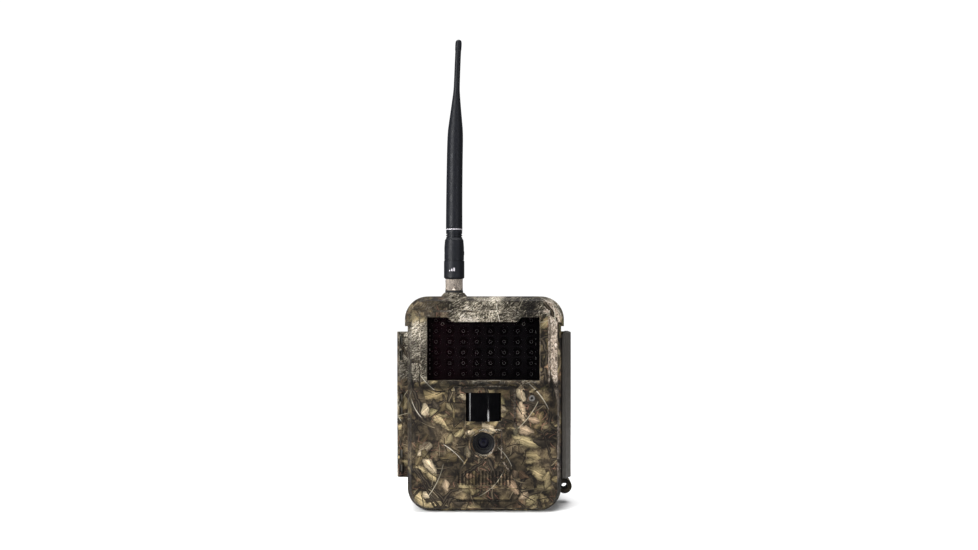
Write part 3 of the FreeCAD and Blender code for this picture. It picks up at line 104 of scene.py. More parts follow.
class Graph:
    """A material under construction."""

    def __init__(self, name):
        self.material = bpy.data.materials.new(name)
        self.material.use_nodes = True
        self.tree = self.material.node_tree
        self.tree.nodes.clear()
        self.shader = self.node("BsdfPrincipled")
        output = self.node("OutputMaterial")
        self.tree.links.new(self.shader.outputs[0], output.inputs[0])
        place = self.node("TexCoord")
        scaled = self.node("VectorMath", {0: Value(self, place.outputs["Object"]), "Scale": 1 / MM},
                           operation="SCALE")
        self.point = Value(self, scaled.outputs[0])
        self.normal = Value(self, place.outputs["Normal"])

    def node(self, kind, inputs=None, **settings):
        made = self.tree.nodes.new("ShaderNode" + kind)
        for key, value in settings.items():
            setattr(made, key, value)
        for key, value in (inputs or {}).items():
            self.put(made.inputs[key], value)
        return made

    def put(self, socket, value):
        if isinstance(value, Value):
            self.tree.links.new(value.socket, socket)
        elif isinstance(value, tuple) and socket.type == "RGBA" and len(value) == 3:
            socket.default_value = (*value, 1.0)
        else:
            socket.default_value = value

    def math(self, operation, a, b=0.0):
        return Value(self, self.node("Math", {0: a, 1: b}, operation=operation).outputs[0])

    def split(self, vector):
        made = self.node("SeparateXYZ", {0: vector})
        return [Value(self, socket) for socket in made.outputs]

    def join(self, x, y, z=0.0):
        return Value(self, self.node("CombineXYZ", {0: x, 1: y, 2: z}).outputs[0])

    def shift(self, vector, other, operation="ADD"):
        return Value(self, self.node("VectorMath", {0: vector, 1: other},
                                     operation=operation).outputs[0])

    def stretch(self, vector, factors):
        return self.shift(vector, factors, "MULTIPLY")

    def noise(self, vector, scale, detail=2.0, roughness=0.5, distortion=0.0):
        made = self.node("TexNoise", {"Vector": vector, "Scale": scale, "Detail": detail,
                                      "Roughness": roughness, "Distortion": distortion})
        return Value(self, made.outputs[0])

    def warp(self, vector, scale, amount, detail=2.0):
        """The vector, pushed about by noise of the given size."""
        made = self.node("TexNoise", {"Vector": vector, "Scale": scale, "Detail": detail})
        centred = self.shift(Value(self, made.outputs[1]), (0.5, 0.5, 0.5), "SUBTRACT")
        pushed = self.node("VectorMath", {0: centred, "Scale": 2 * amount}, operation="SCALE")
        return self.shift(vector, Value(self, pushed.outputs[0]))

    def cells(self, vector, scale, feature="F1", randomness=1.0):
        return self.node("TexVoronoi", {"Vector": vector, "Scale": scale, "Randomness": randomness},
                         voronoi_dimensions="2D", feature=feature)

    def ramp(self, value, stops, interpolation="LINEAR"):
        made = self.node("ValToRGB", {0: value})
        ramp = made.color_ramp
        ramp.interpolation = interpolation
        while len(ramp.elements) < len(stops):
            ramp.elements.new(1.0)
        for element, (position, colour) in zip(ramp.elements, stops):
            element.position = position
            element.color = (*colour, 1.0)
        return Value(self, made.outputs[0])

    def mix(self, factor, a, b, how="MIX"):
        made = self.node("Mix", data_type="RGBA", blend_type=how)
        for index, value in ((0, factor), (6, a), (7, b)):
            self.put(made.inputs[index], value)
        return Value(self, made.outputs[2])

    def pick(self, factor, a, b):
        """Vector a where factor is 0 and vector b where it is 1."""
        made = self.node("Mix", data_type="VECTOR")
        for index, value in ((0, factor), (4, a), (5, b)):
            self.put(made.inputs[index], value)
        return Value(self, made.outputs[1])

    def bump(self, height, distance, strength=1.0):
        """Relief of the given height in millimetres."""
        made = self.node("Bump", {"Height": height, "Distance": distance * MM,
                                  "Strength": strength})
        self.put(self.shader.inputs["Normal"], Value(self, made.outputs[0]))

    def finish(self, **inputs):
        for key, value in inputs.items():
            self.put(self.shader.inputs[key.replace("_", " ")], value)
        return self.material


def srgb(code):
    """Linear colour of a six-digit hexadecimal one."""
    shares = [int(code[i:i + 2], 16) / 255 for i in (0, 2, 4)]
    return tuple(s / 12.92 if s <= 0.04045 else ((s + 0.055) / 1.055) ** 2.4 for s in shares)


# ---------------------------------------------------------------- woodland print

# Places on the housing, in millimetres of the shared frame.
CORNER_CENTRE_X = 35.2
HOUSING_MIDDLE_Z = 70.0
CORNER_CENTRE_Z = 55.0
OUTER_REACH = 14.3
FRONT_BEVEL_Y = -40.0
BACK_BEVEL_Y = 10.0
BEVEL_SLOPE = 0.5
FRONT_FACE_Y = -43.1
BACK_FACE_Y = 13.1
LEDGE_Z = 82.2
FLUTES_Z = 22.5
GROOVE_Z = 7.7
PLAQUE_Y = -46.9
# Offsets that unroll the sides, top and back beside the front, so that no two faces repeat.
SIDE_WRAP = 96.0
TOP_WRAP = 186.0
BACK_SHIFT = (171.0, 93.0)

LEAF_TONES = [
    (0.00, srgb("2a241a")), (0.12, srgb("40382a")), (0.24, srgb("6b5c3c")),
    (0.36, srgb("8c7c54")), (0.50, srgb("a8966a")), (0.60, srgb("5c5738")),
    (0.70, srgb("7a5f45")), (0.80, srgb("c2b088")), (0.90, srgb("4b4632")),
    (1.00, srgb("94845c")),
]
BARK_TONES = [
    (0.00, srgb("0c0a08")), (0.40, srgb("1a1712")), (0.48, srgb("3f3a2d")),
    (0.56, srgb("847b64")), (0.65, srgb("c6bda3")), (0.80, srgb("eae4cc")),
]
GROUND_TONES = [
    (0.28, srgb("15120d")), (0.44, srgb("352d20")), (0.56, srgb("5f523a")),
    (0.68, srgb("857551")), (0.80, srgb("a29267")),
]
PALE_STRAW = srgb("bdb69c")
DARK_WOOD = srgb("191510")


def print_plane(g):
    """Flat coordinates in millimetres for the print, folded round the housing's sides."""
    x, y, z = g.split(g.point)
    nx, ny, nz = g.split(g.normal)
    wobble = (g.noise(g.point, 0.25) - 0.5) * 0.5
    sideways = (abs(nx) + wobble).above(abs(ny).most(abs(nz)))
    upright = (abs(nz) + wobble).above(abs(ny).most(abs(nx)))
    wrap = y + SIDE_WRAP
    front = g.join(x, z)
    side = g.join(wrap * g.math("SIGN", x), z)
    top = g.join(x, (y + TOP_WRAP) * g.math("SIGN", nz))
    back = g.join(x + BACK_SHIFT[0], z + BACK_SHIFT[1])
    flat = g.pick(ny.above(0.5), front, back)
    flat = g.pick(sideways, flat, side)
    return g.pick(upright, flat, top)


def leaf_layer(g, plane, under, cell, aspect, presence, seed, soft=0.16):
    """Overlapping leaves: one in each cell, turned at random, with a soft shadow and a midrib."""
    moved = g.warp(g.shift(plane, (seed * 17.3, seed * 9.1, 0.0)), 1.1 / cell, cell * 0.16)
    cells = g.cells(moved, 1.0 / cell)
    offset = g.shift(moved, Value(g, cells.outputs["Position"]), "SUBTRACT")
    turn, tone, chance = g.split(Value(g, cells.outputs["Color"]))
    dx, dy, _ = g.split(offset)
    angle = turn * math.tau
    cos, sin = g.math("COSINE", angle), g.math("SINE", angle)
    ragged = (g.noise(moved, 0.55, 3.0) - 0.5) * 0.8 + (g.noise(moved, 3.0 / cell) - 0.5) * 0.7
    along = (dx * cos + dy * sin) / (cell * 0.66)
    across = (dy * cos - dx * sin) / (cell * 0.66 * aspect)
    body = 1.0 - along * along - abs(across + along * along * 0.45) + ragged
    here = chance.below(presence)
    shadow = body.step(-0.5, 0.12) * here * 0.6
    mask = body.step(0.0, soft) * here
    light = body.step(0.0, 0.95, 0.40, 1.25) * across.step(-0.25, 0.25, 1.15, 0.72)
    veins = g.noise(g.join(along * 2.0, across * 7.0, turn * 40.0), 1.0, 4.0, 0.6)
    light = light * veins.step(0.3, 0.7, 0.6, 1.25)
    rib = abs(across).step(0.03, 0.09, 0.6, 1.0)
    leaf = g.mix(1.0, g.ramp(tone, LEAF_TONES), g.join(light * rib, light * rib, light * rib),
                 "MULTIPLY")
    shaded = g.mix(shadow, under, srgb("0d0b08"))
    return g.mix(mask, shaded, leaf)


def straws(g, plane, under, cell, width, lean, presence, seed, colour, spread):
    """Thin curved stalks, one in a cell, leaning one way give or take half the spread."""
    moved = g.shift(plane, (seed * 11.9, seed * 23.7, 0.0))
    cells = g.cells(moved, 1.0 / cell)
    offset = g.shift(moved, Value(g, cells.outputs["Position"]), "SUBTRACT")
    turn, bend, chance = g.split(Value(g, cells.outputs["Color"]))
    dx, dy, _ = g.split(offset)
    angle = (turn - 0.5) * spread + lean
    cos, sin = g.math("COSINE", angle), g.math("SINE", angle)
    along = (dx * cos + dy * sin) / (cell * 0.6)
    across = (dy * cos - dx * sin) + along * along * (bend - 0.5) * (cell * 0.28)
    taper = (1.0 - along * along).most(0.0)
    mask = abs(across).step(width * 0.55, width) * -1.0 + 1.0
    mask = mask * taper.step(0.0, 0.35) * chance.below(presence)
    return g.mix(mask, under, colour)


def twigs(g, plane, under, cell, width, seed, low=0.46, high=0.54):
    """Dark forked branches, from the borders between large bent cells."""
    bent = g.warp(g.shift(plane, (seed * 31.0, seed * 7.0, 0.0)), 0.06, 7.0, 3.0)
    edge = Value(g, g.cells(bent, 1.0 / cell, "DISTANCE_TO_EDGE").outputs["Distance"]) * cell
    here = g.noise(g.shift(plane, (seed * 5.0, 0.0, 0.0)), 0.035, 1.0).step(low, high)
    mask = edge.step(width * 0.6, width, 1.0, 0.0) * here
    lit = edge.step(width * 0.1, width * 0.45, 0.30, 0.0) * here
    return g.mix(lit, g.mix(mask, under, DARK_WOOD), srgb("6d6048"))


def tangle(g, plane, under, seed, colour, presence):
    """A patch of fine crossing stalks."""
    here = g.noise(g.shift(plane, (seed * 3.1, seed * 4.7, 0.0)), 0.045, 2.0).step(0.50, 0.58)
    grown = straws(g, plane, under, 5.5, 0.22, 0.6, presence, seed, colour, 3.0)
    grown = straws(g, plane, grown, 4.5, 0.20, 2.2, presence, seed + 1.5, colour, 2.4)
    return g.mix(here, under, grown)


def bark(g, plane):
    """Rough bark with short pale flecks that run up to the right, and dark gaps."""
    bent = g.warp(plane, 0.06, 6.0)
    turned = g.node("VectorRotate", {"Vector": bent, "Angle": -math.radians(34)},
                    rotation_type="Z_AXIS")
    grain = g.stretch(Value(g, turned.outputs[0]), (0.34, 1.15, 1.0))
    streaks = g.noise(grain, 1.0, 5.0, 0.66, 0.9)
    fine = g.noise(g.stretch(grain, (1.9, 2.4, 1.0)), 1.0, 4.0, 0.65)
    patch = g.noise(plane, 0.055, 2.0)
    level = streaks * 0.72 + fine * 0.80 + (patch - 0.5) * 0.55 - 0.27
    return g.ramp(level, BARK_TONES)


def birch_strip(g, plane):
    """Pale bark speckled with dark marks."""
    grain = g.stretch(plane, (0.85, 0.55, 1.0))
    marks = g.noise(grain, 1.0, 5.0, 0.7, 0.8)
    return g.ramp(marks, [(0.36, srgb("2a231b")), (0.45, srgb("6e6150")),
                          (0.54, srgb("a6977e")), (0.68, srgb("d9cdb6"))])


def leaf_litter(g, plane):
    """Ground with leaves of four sizes, and twigs and stalks between them."""
    colour = g.ramp(g.noise(g.warp(plane, 0.09, 6.0), 0.17, 5.0, 0.62), GROUND_TONES)
    colour = leaf_layer(g, plane, colour, 27.0, 0.40, 0.72, 1.0, 0.4)
    colour = twigs(g, plane, colour, 23.0, 1.1, 2.0)
    colour = leaf_layer(g, plane, colour, 18.0, 0.38, 0.62, 2.0, 0.3)
    colour = tangle(g, plane, colour, 5.0, srgb("17130e"), 0.85)
    colour = leaf_layer(g, plane, colour, 12.0, 0.46, 0.46, 3.0, 0.25)
    colour = tangle(g, plane, colour, 9.0, srgb("7b5a44"), 0.7)
    colour = twigs(g, plane, colour, 33.0, 1.7, 1.0)
    colour = straws(g, plane, colour, 8.5, 0.34, 1.9, 0.4, 6.0, srgb("6f6349"), 6.0)
    colour = leaf_layer(g, plane, colour, 7.0, 0.55, 0.24, 4.0)
    return straws(g, plane, colour, 9.5, 0.36, 1.2, 0.5, 7.0, srgb("1a1610"), 6.0)


def bark_share(g, plane, ragged):
    """Where bark covers the litter: round the window, and in patches on the other faces."""
    u, v, _ = g.split(plane)
    above = (v + ragged * 0.5).step(82.0, 88.0)
    left = (u + ragged * 0.3).step(33.0, 37.0, 1.0, 0.0)
    corner = (v + ragged * 0.5).step(121.0, 126.0) * (u + ragged * 0.5).step(-30.0, -22.0, 1.0, 0.0)
    band = (v + ragged * 0.4).step(126.0, 129.0) * (v + ragged * 0.3).step(142.0, 150.0, 1.0, 0.0)
    low = g.noise(plane, 0.022, 1.0).step(0.52, 0.58)
    outside = abs(u).step(60.0, 66.0)
    inside = above * left.most(band) * (1.0 - corner * 0.85)
    return inside * (1.0 - outside) + low * outside


def strip_share(g, plane, ragged):
    """Where the pale strip runs, down the right side and curving in at its top."""
    u, v, _ = g.split(plane)
    middle = v.step(66.0, 98.0, 49.0, 46.4) - v.step(120.0, 140.0, 0.0, 4.5)
    inner = v.step(66.0, 98.0, 1.4, 3.6)
    outer = v.step(66.0, 98.0, 4.2, 3.6)
    across = u - middle + ragged * 0.10
    strip = (across - outer).most(across * -1.0 - inner).step(-0.5, 0.7, 1.0, 0.0)
    return strip * (v + ragged).step(18.0, 30.0) * (v + ragged).step(140.0, 146.0, 1.0, 0.0)


def print_shade(g, plane):
    """Light and dark over the whole print, with painted shade in the recesses, on the hinge-side
    bevel and under the window frame, and darker on the padlock eye.
    """
    u, v, _ = g.split(plane)
    shade = g.noise(plane, 0.05, 2.0).step(0.36, 0.62, 0.26, 0.95)
    grain = g.noise(plane, 1.6, 2.0).step(0.3, 0.7, 0.80, 1.18)
    eye = 1.0 - u.step(50.0, 51.5) * v.below(22.0) * 0.6
    litter = v.step(74.0, 90.0, 0.88, 1.0)
    return shade * grain * eye * litter * recess_painted_shade(g) * left_bevel_painted_shade(g) * ledge_painted_shadow(g)


def woodland_colour(g, plane):
    """The whole print: leaf litter, with bark above, twigs and straws over both."""
    ragged = (g.noise(plane, 0.11, 3.0) - 0.5) * 16.0
    colour = g.mix(bark_share(g, plane, ragged), leaf_litter(g, plane), bark(g, plane))
    colour = g.mix(strip_share(g, plane, ragged), colour, birch_strip(g, plane))
    colour = twigs(g, plane, colour, 44.0, 1.3, 3.0)
    colour = straws(g, plane, colour, 19.0, 0.26, 2.2, 0.26, 1.0, PALE_STRAW, 0.9)
    colour = straws(g, plane, colour, 21.0, 0.28, 0.9, 0.22, 2.0, srgb("978f74"), 1.2)
    tone = print_shade(g, plane)
    return g.mix(1.0, colour, g.join(tone, tone * 1.01, tone * 1.17), "MULTIPLY")


def left_bevel_painted_shade(g):
    """Paints shade on the front bevel on the hinge side."""
    x, y, _ = g.split(g.point)
    return 1.0 - x.step(-47.0, -46.6, 1.0, 0.0) * y.below(FRONT_BEVEL_Y + 0.1) * 0.45


def ledge_painted_shadow(g):
    """Paints a shadow on the ledge under the window frame."""
    _, y, z = g.split(g.point)
    near = abs(z - LEDGE_Z).step(0.9, 3.6, 1.0, 0.0)
    return 1.0 - near * y.below(-44.0) * 0.72


def recess_painted_shade(g):
    """Paints shade into the bottoms of the plaque's flutes and of the groove under it."""
    x, y, z = g.split(g.point)
    flutes = abs(x).below(19.0) * abs(z - FLUTES_Z).below(5.5) * y.above(PLAQUE_Y)
    groove = abs(x).below(18.0) * abs(z - GROOVE_Z).below(0.9) * y.above(PLAQUE_Y) * y.below(-42.0)
    return 1.0 - flutes.most(groove) * 0.65


def is_printed(g):
    """1 on the outside of the housing and 0 on its inner walls."""
    x, y, z = g.split(g.point)
    across = (abs(x) - CORNER_CENTRE_X).most(0.0)
    along = (abs(z - HOUSING_MIDDLE_Z) - CORNER_CENTRE_Z).most(0.0)
    bevel = (y * -1.0 + FRONT_BEVEL_Y).most(y - BACK_BEVEL_Y).most(0.0) * BEVEL_SLOPE
    reach = g.math("SQRT", across * across + along * along) + bevel
    return reach.above(OUTER_REACH).most(y.below(FRONT_FACE_Y)).most(y.above(BACK_FACE_Y))


def camouflage():
    g = Graph("woodland_print")
    plane = print_plane(g)
    printed = is_printed(g)
    inside = g.ramp(g.noise(g.point, 0.9, 4.0), [(0.3, srgb("24231f")), (0.7, srgb("34332e"))])
    colour = g.mix(printed, inside, woodland_colour(g, plane))
    grain = g.noise(g.point, 2.6, 3.0, 0.6)
    g.bump(grain, 0.05, 0.6)
    roughness = g.noise(g.point, 0.4, 3.0).step(0.3, 0.7, 0.56, 0.74)
    return g.finish(Base_Color=colour, Roughness=roughness, Specular_IOR_Level=0.10)


# ---------------------------------------------------------------- plain materials

def moulded(name, code, roughness=0.5, spread=0.18, grain=1.8, relief=0.03, specular=0.5, **more):
    """Moulded plastic or rubber: slightly uneven colour and gloss, and a fine grain."""
    g = Graph(name)
    base = srgb(code)
    patches = g.noise(g.point, 0.12, 4.0, 0.6).step(0.25, 0.75, 1 - spread, 1 + spread)
    specks = g.noise(g.point, grain * 1.7, 2.0).step(0.3, 0.7, 1 - spread * 0.6, 1 + spread * 0.6)
    tone = patches * specks
    colour = g.mix(1.0, base, g.join(tone, tone, tone), "MULTIPLY")
    g.bump(g.noise(g.point, grain, 3.0, 0.6), relief, 0.6)
    gloss = g.noise(g.point, 0.3, 3.0).step(0.25, 0.75, roughness * 0.85, roughness * 1.15)
    return g.finish(Base_Color=colour, Roughness=gloss, Specular_IOR_Level=specular, **more)


def metal(name, code, roughness=0.3, brushed=(1.0, 1.0, 14.0), spread=0.12):
    """Plated or turned metal with fine marks along one direction."""
    g = Graph(name)
    base = srgb(code)
    marks = g.noise(g.stretch(g.point, brushed), 0.9, 4.0, 0.6)
    patches = g.noise(g.point, 0.25, 3.0)
    tone = marks.step(0.25, 0.75, 1 - spread, 1 + spread) * patches.step(0.3, 0.7, 0.9, 1.05)
    colour = g.mix(1.0, base, g.join(tone, tone, tone), "MULTIPLY")
    g.bump(marks, 0.02, 0.5)
    gloss = marks.step(0.2, 0.8, roughness * 0.75, roughness * 1.3)
    return g.finish(Base_Color=colour, Roughness=gloss, Metallic=1.0)


def circuit_board(name, mask_code, track_code, dot_code="b79a55"):
    """Solder mask over fine tracks, with small plated dots."""
    g = Graph(name)
    x, _, z = g.split(g.point)
    plane = g.join(x, z)
    cells = g.cells(plane, 0.32, "DISTANCE_TO_EDGE", 0.7)
    track = Value(g, cells.outputs["Distance"]).step(0.02, 0.06, 1.0, 0.0)
    dots = Value(g, g.cells(plane, 0.45).outputs["Distance"]).step(0.10, 0.13, 1.0, 0.0)
    colour = g.mix(track * 0.6, srgb(mask_code), srgb(track_code))
    colour = g.mix(dots * 0.8, colour, srgb(dot_code))
    g.bump(track, 0.03, 0.5)
    gloss = g.noise(g.point, 0.5, 3.0).step(0.3, 0.7, 0.28, 0.42)
    return g.finish(Base_Color=colour, Roughness=gloss)


def dark_window():
    """Infrared-pass plastic: nearly black, a little maroon on the left, and just see-through."""
    g = Graph("infrared_pass_plastic")
    x, _, _ = g.split(g.point)
    drift = x + (g.noise(g.point, 0.08, 2.0) - 0.5) * 40.0
    colour = g.mix(drift.step(-45.0, 20.0), srgb("0d0507"), srgb("040304"))
    gloss = g.noise(g.point, 0.2, 2.0).step(0.3, 0.7, 0.05, 0.10)
    g.bump(g.noise(g.point, 0.05, 1.0), 0.02, 0.3)
    return g.finish(Base_Color=colour, Roughness=gloss, Specular_IOR_Level=0.05, Alpha=0.54)


def sensor_film():
    """Black lens film of the motion sensor, with faint pressed facets."""
    g = Graph("sensor_film")
    x, _, z = g.split(g.point)
    facets = abs(g.math("SINE", x * 1.1)).least(abs(g.math("SINE", z * 0.5)))
    g.bump(facets, 0.01, 0.2)
    colour = g.ramp(g.noise(g.point, 0.2, 3.0), [(0.3, srgb("020203")), (0.7, srgb("050506"))])
    gloss = g.noise(g.point, 0.3, 2.0).step(0.3, 0.7, 0.06, 0.10)
    return g.finish(Base_Color=colour, Roughness=gloss, Specular_IOR_Level=0.07)


def coated_glass():
    """Front element of the lens: dark, with a blue-violet coating in rings."""
    g = Graph("coated_glass")
    low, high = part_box("lens_glass")
    middle = (low + high) / 2 / MM
    x, _, z = g.split(g.point)
    dx, dz = x - middle.x, z - middle.z
    reach = g.math("SQRT", dx * dx + dz * dz)
    colour = g.ramp(reach / 4.0, [(0.0, srgb("0e0d14")), (0.22, srgb("07070b")),
                                  (0.40, srgb("14141f")), (0.55, srgb("06060a")),
                                  (0.80, srgb("16161f")), (1.0, srgb("060608"))])
    gloss = g.noise(g.point, 0.5, 2.0).step(0.3, 0.7, 0.10, 0.16)
    return g.finish(Base_Color=colour, Roughness=gloss, Specular_IOR_Level=0.08)


def cell_jacket():
    """Battery sleeve: dark body with a copper-coloured band at the contact end of each row."""
    g = Graph("cell_jacket")
    _, _, z = g.split(g.point)
    turn = g.math("FLOORED_MODULO", z - 15.9, 56.1)
    band = turn.above(38.0)
    line = abs(turn - 38.0).below(0.5)
    colour = g.mix(band, srgb("22303a"), srgb("a86f3c"))
    colour = g.mix(line, colour, srgb("d9d6cc"))
    scuffs = g.noise(g.stretch(g.point, (1.0, 1.0, 0.2)), 1.2, 4.0).step(0.3, 0.7, 0.85, 1.1)
    colour = g.mix(1.0, colour, g.join(scuffs, scuffs, scuffs), "MULTIPLY")
    g.bump(g.noise(g.point, 0.6, 2.0), 0.03, 0.4)
    return g.finish(Base_Color=colour, Roughness=scuffs * 0.32, Metallic=0.35)


def display_face():
    """Blank grey-green display behind clear plastic."""
    g = Graph("display_face")
    x, _, z = g.split(g.point)
    low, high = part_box("display")
    middle = (low + high) / 2 / MM
    half = (high - low) / 2 / MM
    edge = (abs(x - middle.x) - (half.x - 3.0)).most(abs(z - middle.z) - (half.z - 3.0))
    pixels = abs(g.math("SINE", x * 6.0)) * abs(g.math("SINE", z * 6.0))
    lit = g.mix(pixels * 0.12, srgb("59645a"), srgb("2f362f"))
    colour = g.mix(edge.above(0.0), lit, srgb("101214"))
    gloss = g.noise(g.point, 0.2, 2.0).step(0.3, 0.7, 0.05, 0.12)
    return g.finish(Base_Color=colour, Roughness=gloss, Coat_Weight=0.5)


def slot_materials():
    return {
        "camo_shell": camouflage(),
        "latch_plastic": moulded("latch_plastic", "36322d", 0.55, 0.14, 1.4, 0.05, 0.32),
        "seal_rubber": moulded("seal_rubber", "1c1b1a", 0.75, 0.15, 1.2, 0.04, 0.3),
        "steel_pin": metal("dark_steel", "5f5c58", 0.38),
        "led_window_plastic": dark_window(),
        "pcb_green": circuit_board("circuit_board", "123a24", "1d5233"),
        "led_epoxy": moulded("led_epoxy", "0d0b0d", 0.3, 0.1, 0.6, 0.005, 0.15, Alpha=0.35),
        "pir_plastic": sensor_film(),
        "sensor_metal": metal("plated_can", "b9b6ae", 0.28, (1.0, 1.0, 1.0)),
        "black_plastic": moulded("black_plastic", "070708", 0.5, 0.15, 2.2, 0.02, 0.16),
        "lens_coated": coated_glass(),
        "bright_metal": metal("bright_metal", "bcb8b0", 0.3, (6.0, 1.0, 1.0)),
        "nickel": metal("warm_nickel", "d6c8bb", 0.20, (3.0, 3.0, 0.5), 0.3),
        "brass_plain": metal("turned_brass", "b8954f", 0.3, (1.0, 1.0, 12.0)),
        "gold_contact": metal("gold_plate", "d8ac58", 0.25, (1.0, 1.0, 1.0), 0.06),
        "panel_plastic": moulded("panel_plastic", "343436", 0.6, 0.12, 2.0, 0.05),
        "display_glass": display_face(),
        "button_rubber": moulded("button_rubber", "5d5e61", 0.7, 0.1, 1.6, 0.03, 0.3),
        "tray_plastic": moulded("tray_plastic", "2a2b2c", 0.55, 0.12, 1.8, 0.04),
        "cell_jacket": cell_jacket(),
        "card_plastic": moulded("card_plastic", "2b3350", 0.5, 0.08, 2.0, 0.02),
        "sim_plastic": moulded("sim_plastic", "dedcd6", 0.4, 0.05, 2.0, 0.01),
        "antenna_plastic": moulded("antenna_plastic", "0b0d13", 0.5, 0.14, 1.6, 0.03, 0.21),
        "antenna_band": moulded("antenna_band", "b4b0b6", 0.35, 0.05, 1.0, 0.01),
        "status_clear": moulded("status_clear", "54524f", 0.3, 0.08, 1.0, 0.01, 0.3),
        "cable_jacket": moulded("cable_jacket", "2a2a2a", 0.55, 0.12, 2.0, 0.03),
    }


MATERIALS = slot_materials()
BLACK_BOARD = circuit_board("black_board", "08080a", "0f0f11", "1b1a19")


def paint(thing, material):
    """Gives every material slot of the object this material."""
    slots = thing.material_slots
    if not slots:
        thing.data.materials.append(material)
    for slot in slots:
        slot.link = "OBJECT"
        slot.material = material


def paint_nodes():
    for name, thing in NODES.items():
        paint(thing, MATERIALS[SLOT_OF[name]])
    paint(NODES["led_board"], BLACK_BOARD)
    paint(NODES["led_board_screws"], MATERIALS["steel_pin"])


# ---------------------------------------------------------------- replacement pieces

def add_piece(name, vertices, faces, slot, body, smooth=True):
    """A mesh piece in metres that takes the slot's material and moves with the body."""
    mesh = bpy.data.meshes.new(name)
    mesh.from_pydata([tuple(v) for v in vertices], [], faces)
    mesh.validate()
    for face in mesh.polygons:
        face.use_smooth = smooth
    mesh.materials.append(MATERIALS[slot])
    piece = bpy.data.objects.new(name, mesh)
    bpy.context.scene.collection.objects.link(piece)
    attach(piece, body)
    return piece


def ring_tube(rings, sides):
    """Vertices and faces of a closed tube through rings of (centre, radius)."""
    vertices = []
    faces = []
    for centre, radius in rings:
        for step in range(sides):
            turn = math.tau * step / sides
            vertices.append(centre + Vector((radius * math.cos(turn), radius * math.sin(turn), 0)))
    for row in range(len(rings) - 1):
        for step in range(sides):
            after = (step + 1) % sides
            low, high = row * sides, (row + 1) * sides
            faces.append((low + step, low + after, high + after, high + step))
    faces.append(tuple(reversed(range(sides))))
    last = (len(rings) - 1) * sides
    faces.append(tuple(last + step for step in range(sides)))
    return vertices, faces


def smooth_between(points, share):
    """Value at a share of the way along (share, value) points, by a smooth curve through them."""
    for index in range(len(points) - 1):
        if share <= points[index + 1][0] or index == len(points) - 2:
            break
    (s0, v0), (s1, v1) = points[index], points[index + 1]
    before = points[max(index - 1, 0)]
    after = points[min(index + 2, len(points) - 1)]
    slope0 = (v1 - before[1]) / max(s1 - before[0], 1e-9)
    slope1 = (after[1] - v0) / max(after[0] - s0, 1e-9)
    t = min(max((share - s0) / (s1 - s0), 0.0), 1.0)
    width = s1 - s0
    return ((2 * t ** 3 - 3 * t ** 2 + 1) * v0 + (t ** 3 - 2 * t ** 2 + t) * width * slope0
            + (3 * t ** 2 - 2 * t ** 3) * v1 + (t ** 3 - t ** 2) * width * slope1)


# Outlines of the whip and its tip: (share of the height, radius in millimetres).
WHIP_PROFILE = [(0.0, 5.45), (0.17, 5.36), (0.35, 5.27), (0.49, 5.20), (0.55, 4.95), (0.60, 4.35),
                (0.657, 3.57), (0.717, 2.79), (0.776, 2.12), (0.83, 1.97), (0.91, 1.93), (1.0, 1.93)]
TIP_PROFILE = [(0.0, 1.95), (0.08, 2.08), (0.70, 2.08), (0.90, 1.72), (0.97, 1.2), (1.0, 0.75)]
# How far the tip leans to the right, in millimetres.
TIP_LEAN = 3.0


def whip_piece(name, node, profile, steps, sides):
    """A smooth leaning tube in place of one of the whip's solids."""
    low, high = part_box(node)
    ring_low, ring_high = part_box("antenna_ring")
    _, tip_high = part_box("antenna_tip")
    axis = (ring_low + ring_high) / 2
    reach = tip_high.z - ring_high.z
    rings = []
    for step in range(steps + 1):
        share = step / steps
        z = low.z + (high.z - low.z) * share
        lean = TIP_LEAN * MM * ((z - ring_high.z) / reach) ** 2
        centre = Vector((axis.x + lean, axis.y, z))
        rings.append((centre, smooth_between(profile, share) * MM))
    vertices, faces = ring_tube(rings, sides)
    piece = add_piece(name, vertices, faces, "antenna_plastic", "antenna")
    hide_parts(node)


# The small printed details, painted glints and painted reflections, in millimetres.
LED_RADIUS = 2.9
LED_COLUMNS = 8
LED_ROWS = 6
# Reflector ring, drawn pale and matte as a painted glint: (radius, depth behind its front edge),
# outside then inside.
CUP_GLINT_EDGES = ((1.12, 0.0), (0.80, 0.3))
CUP_GLINT_SIDES = 20
# Painted reflection strips beside the grid: (top, number, spacing).
LEFT_REFLECTION_STRIPS = (117.4, 10, 3.15)
RIGHT_REFLECTION_STRIPS = (116.4, 6, 4.3)
# The three rising bars on the antenna base.
BAR_HEIGHTS = (0.8, 1.5, 2.2)
BAR_PITCH = 1.5
BAR_HALF_WIDTH = 0.42
MARK_MIDDLE = -1.3
MARK_ABOVE_NUT = 5.2


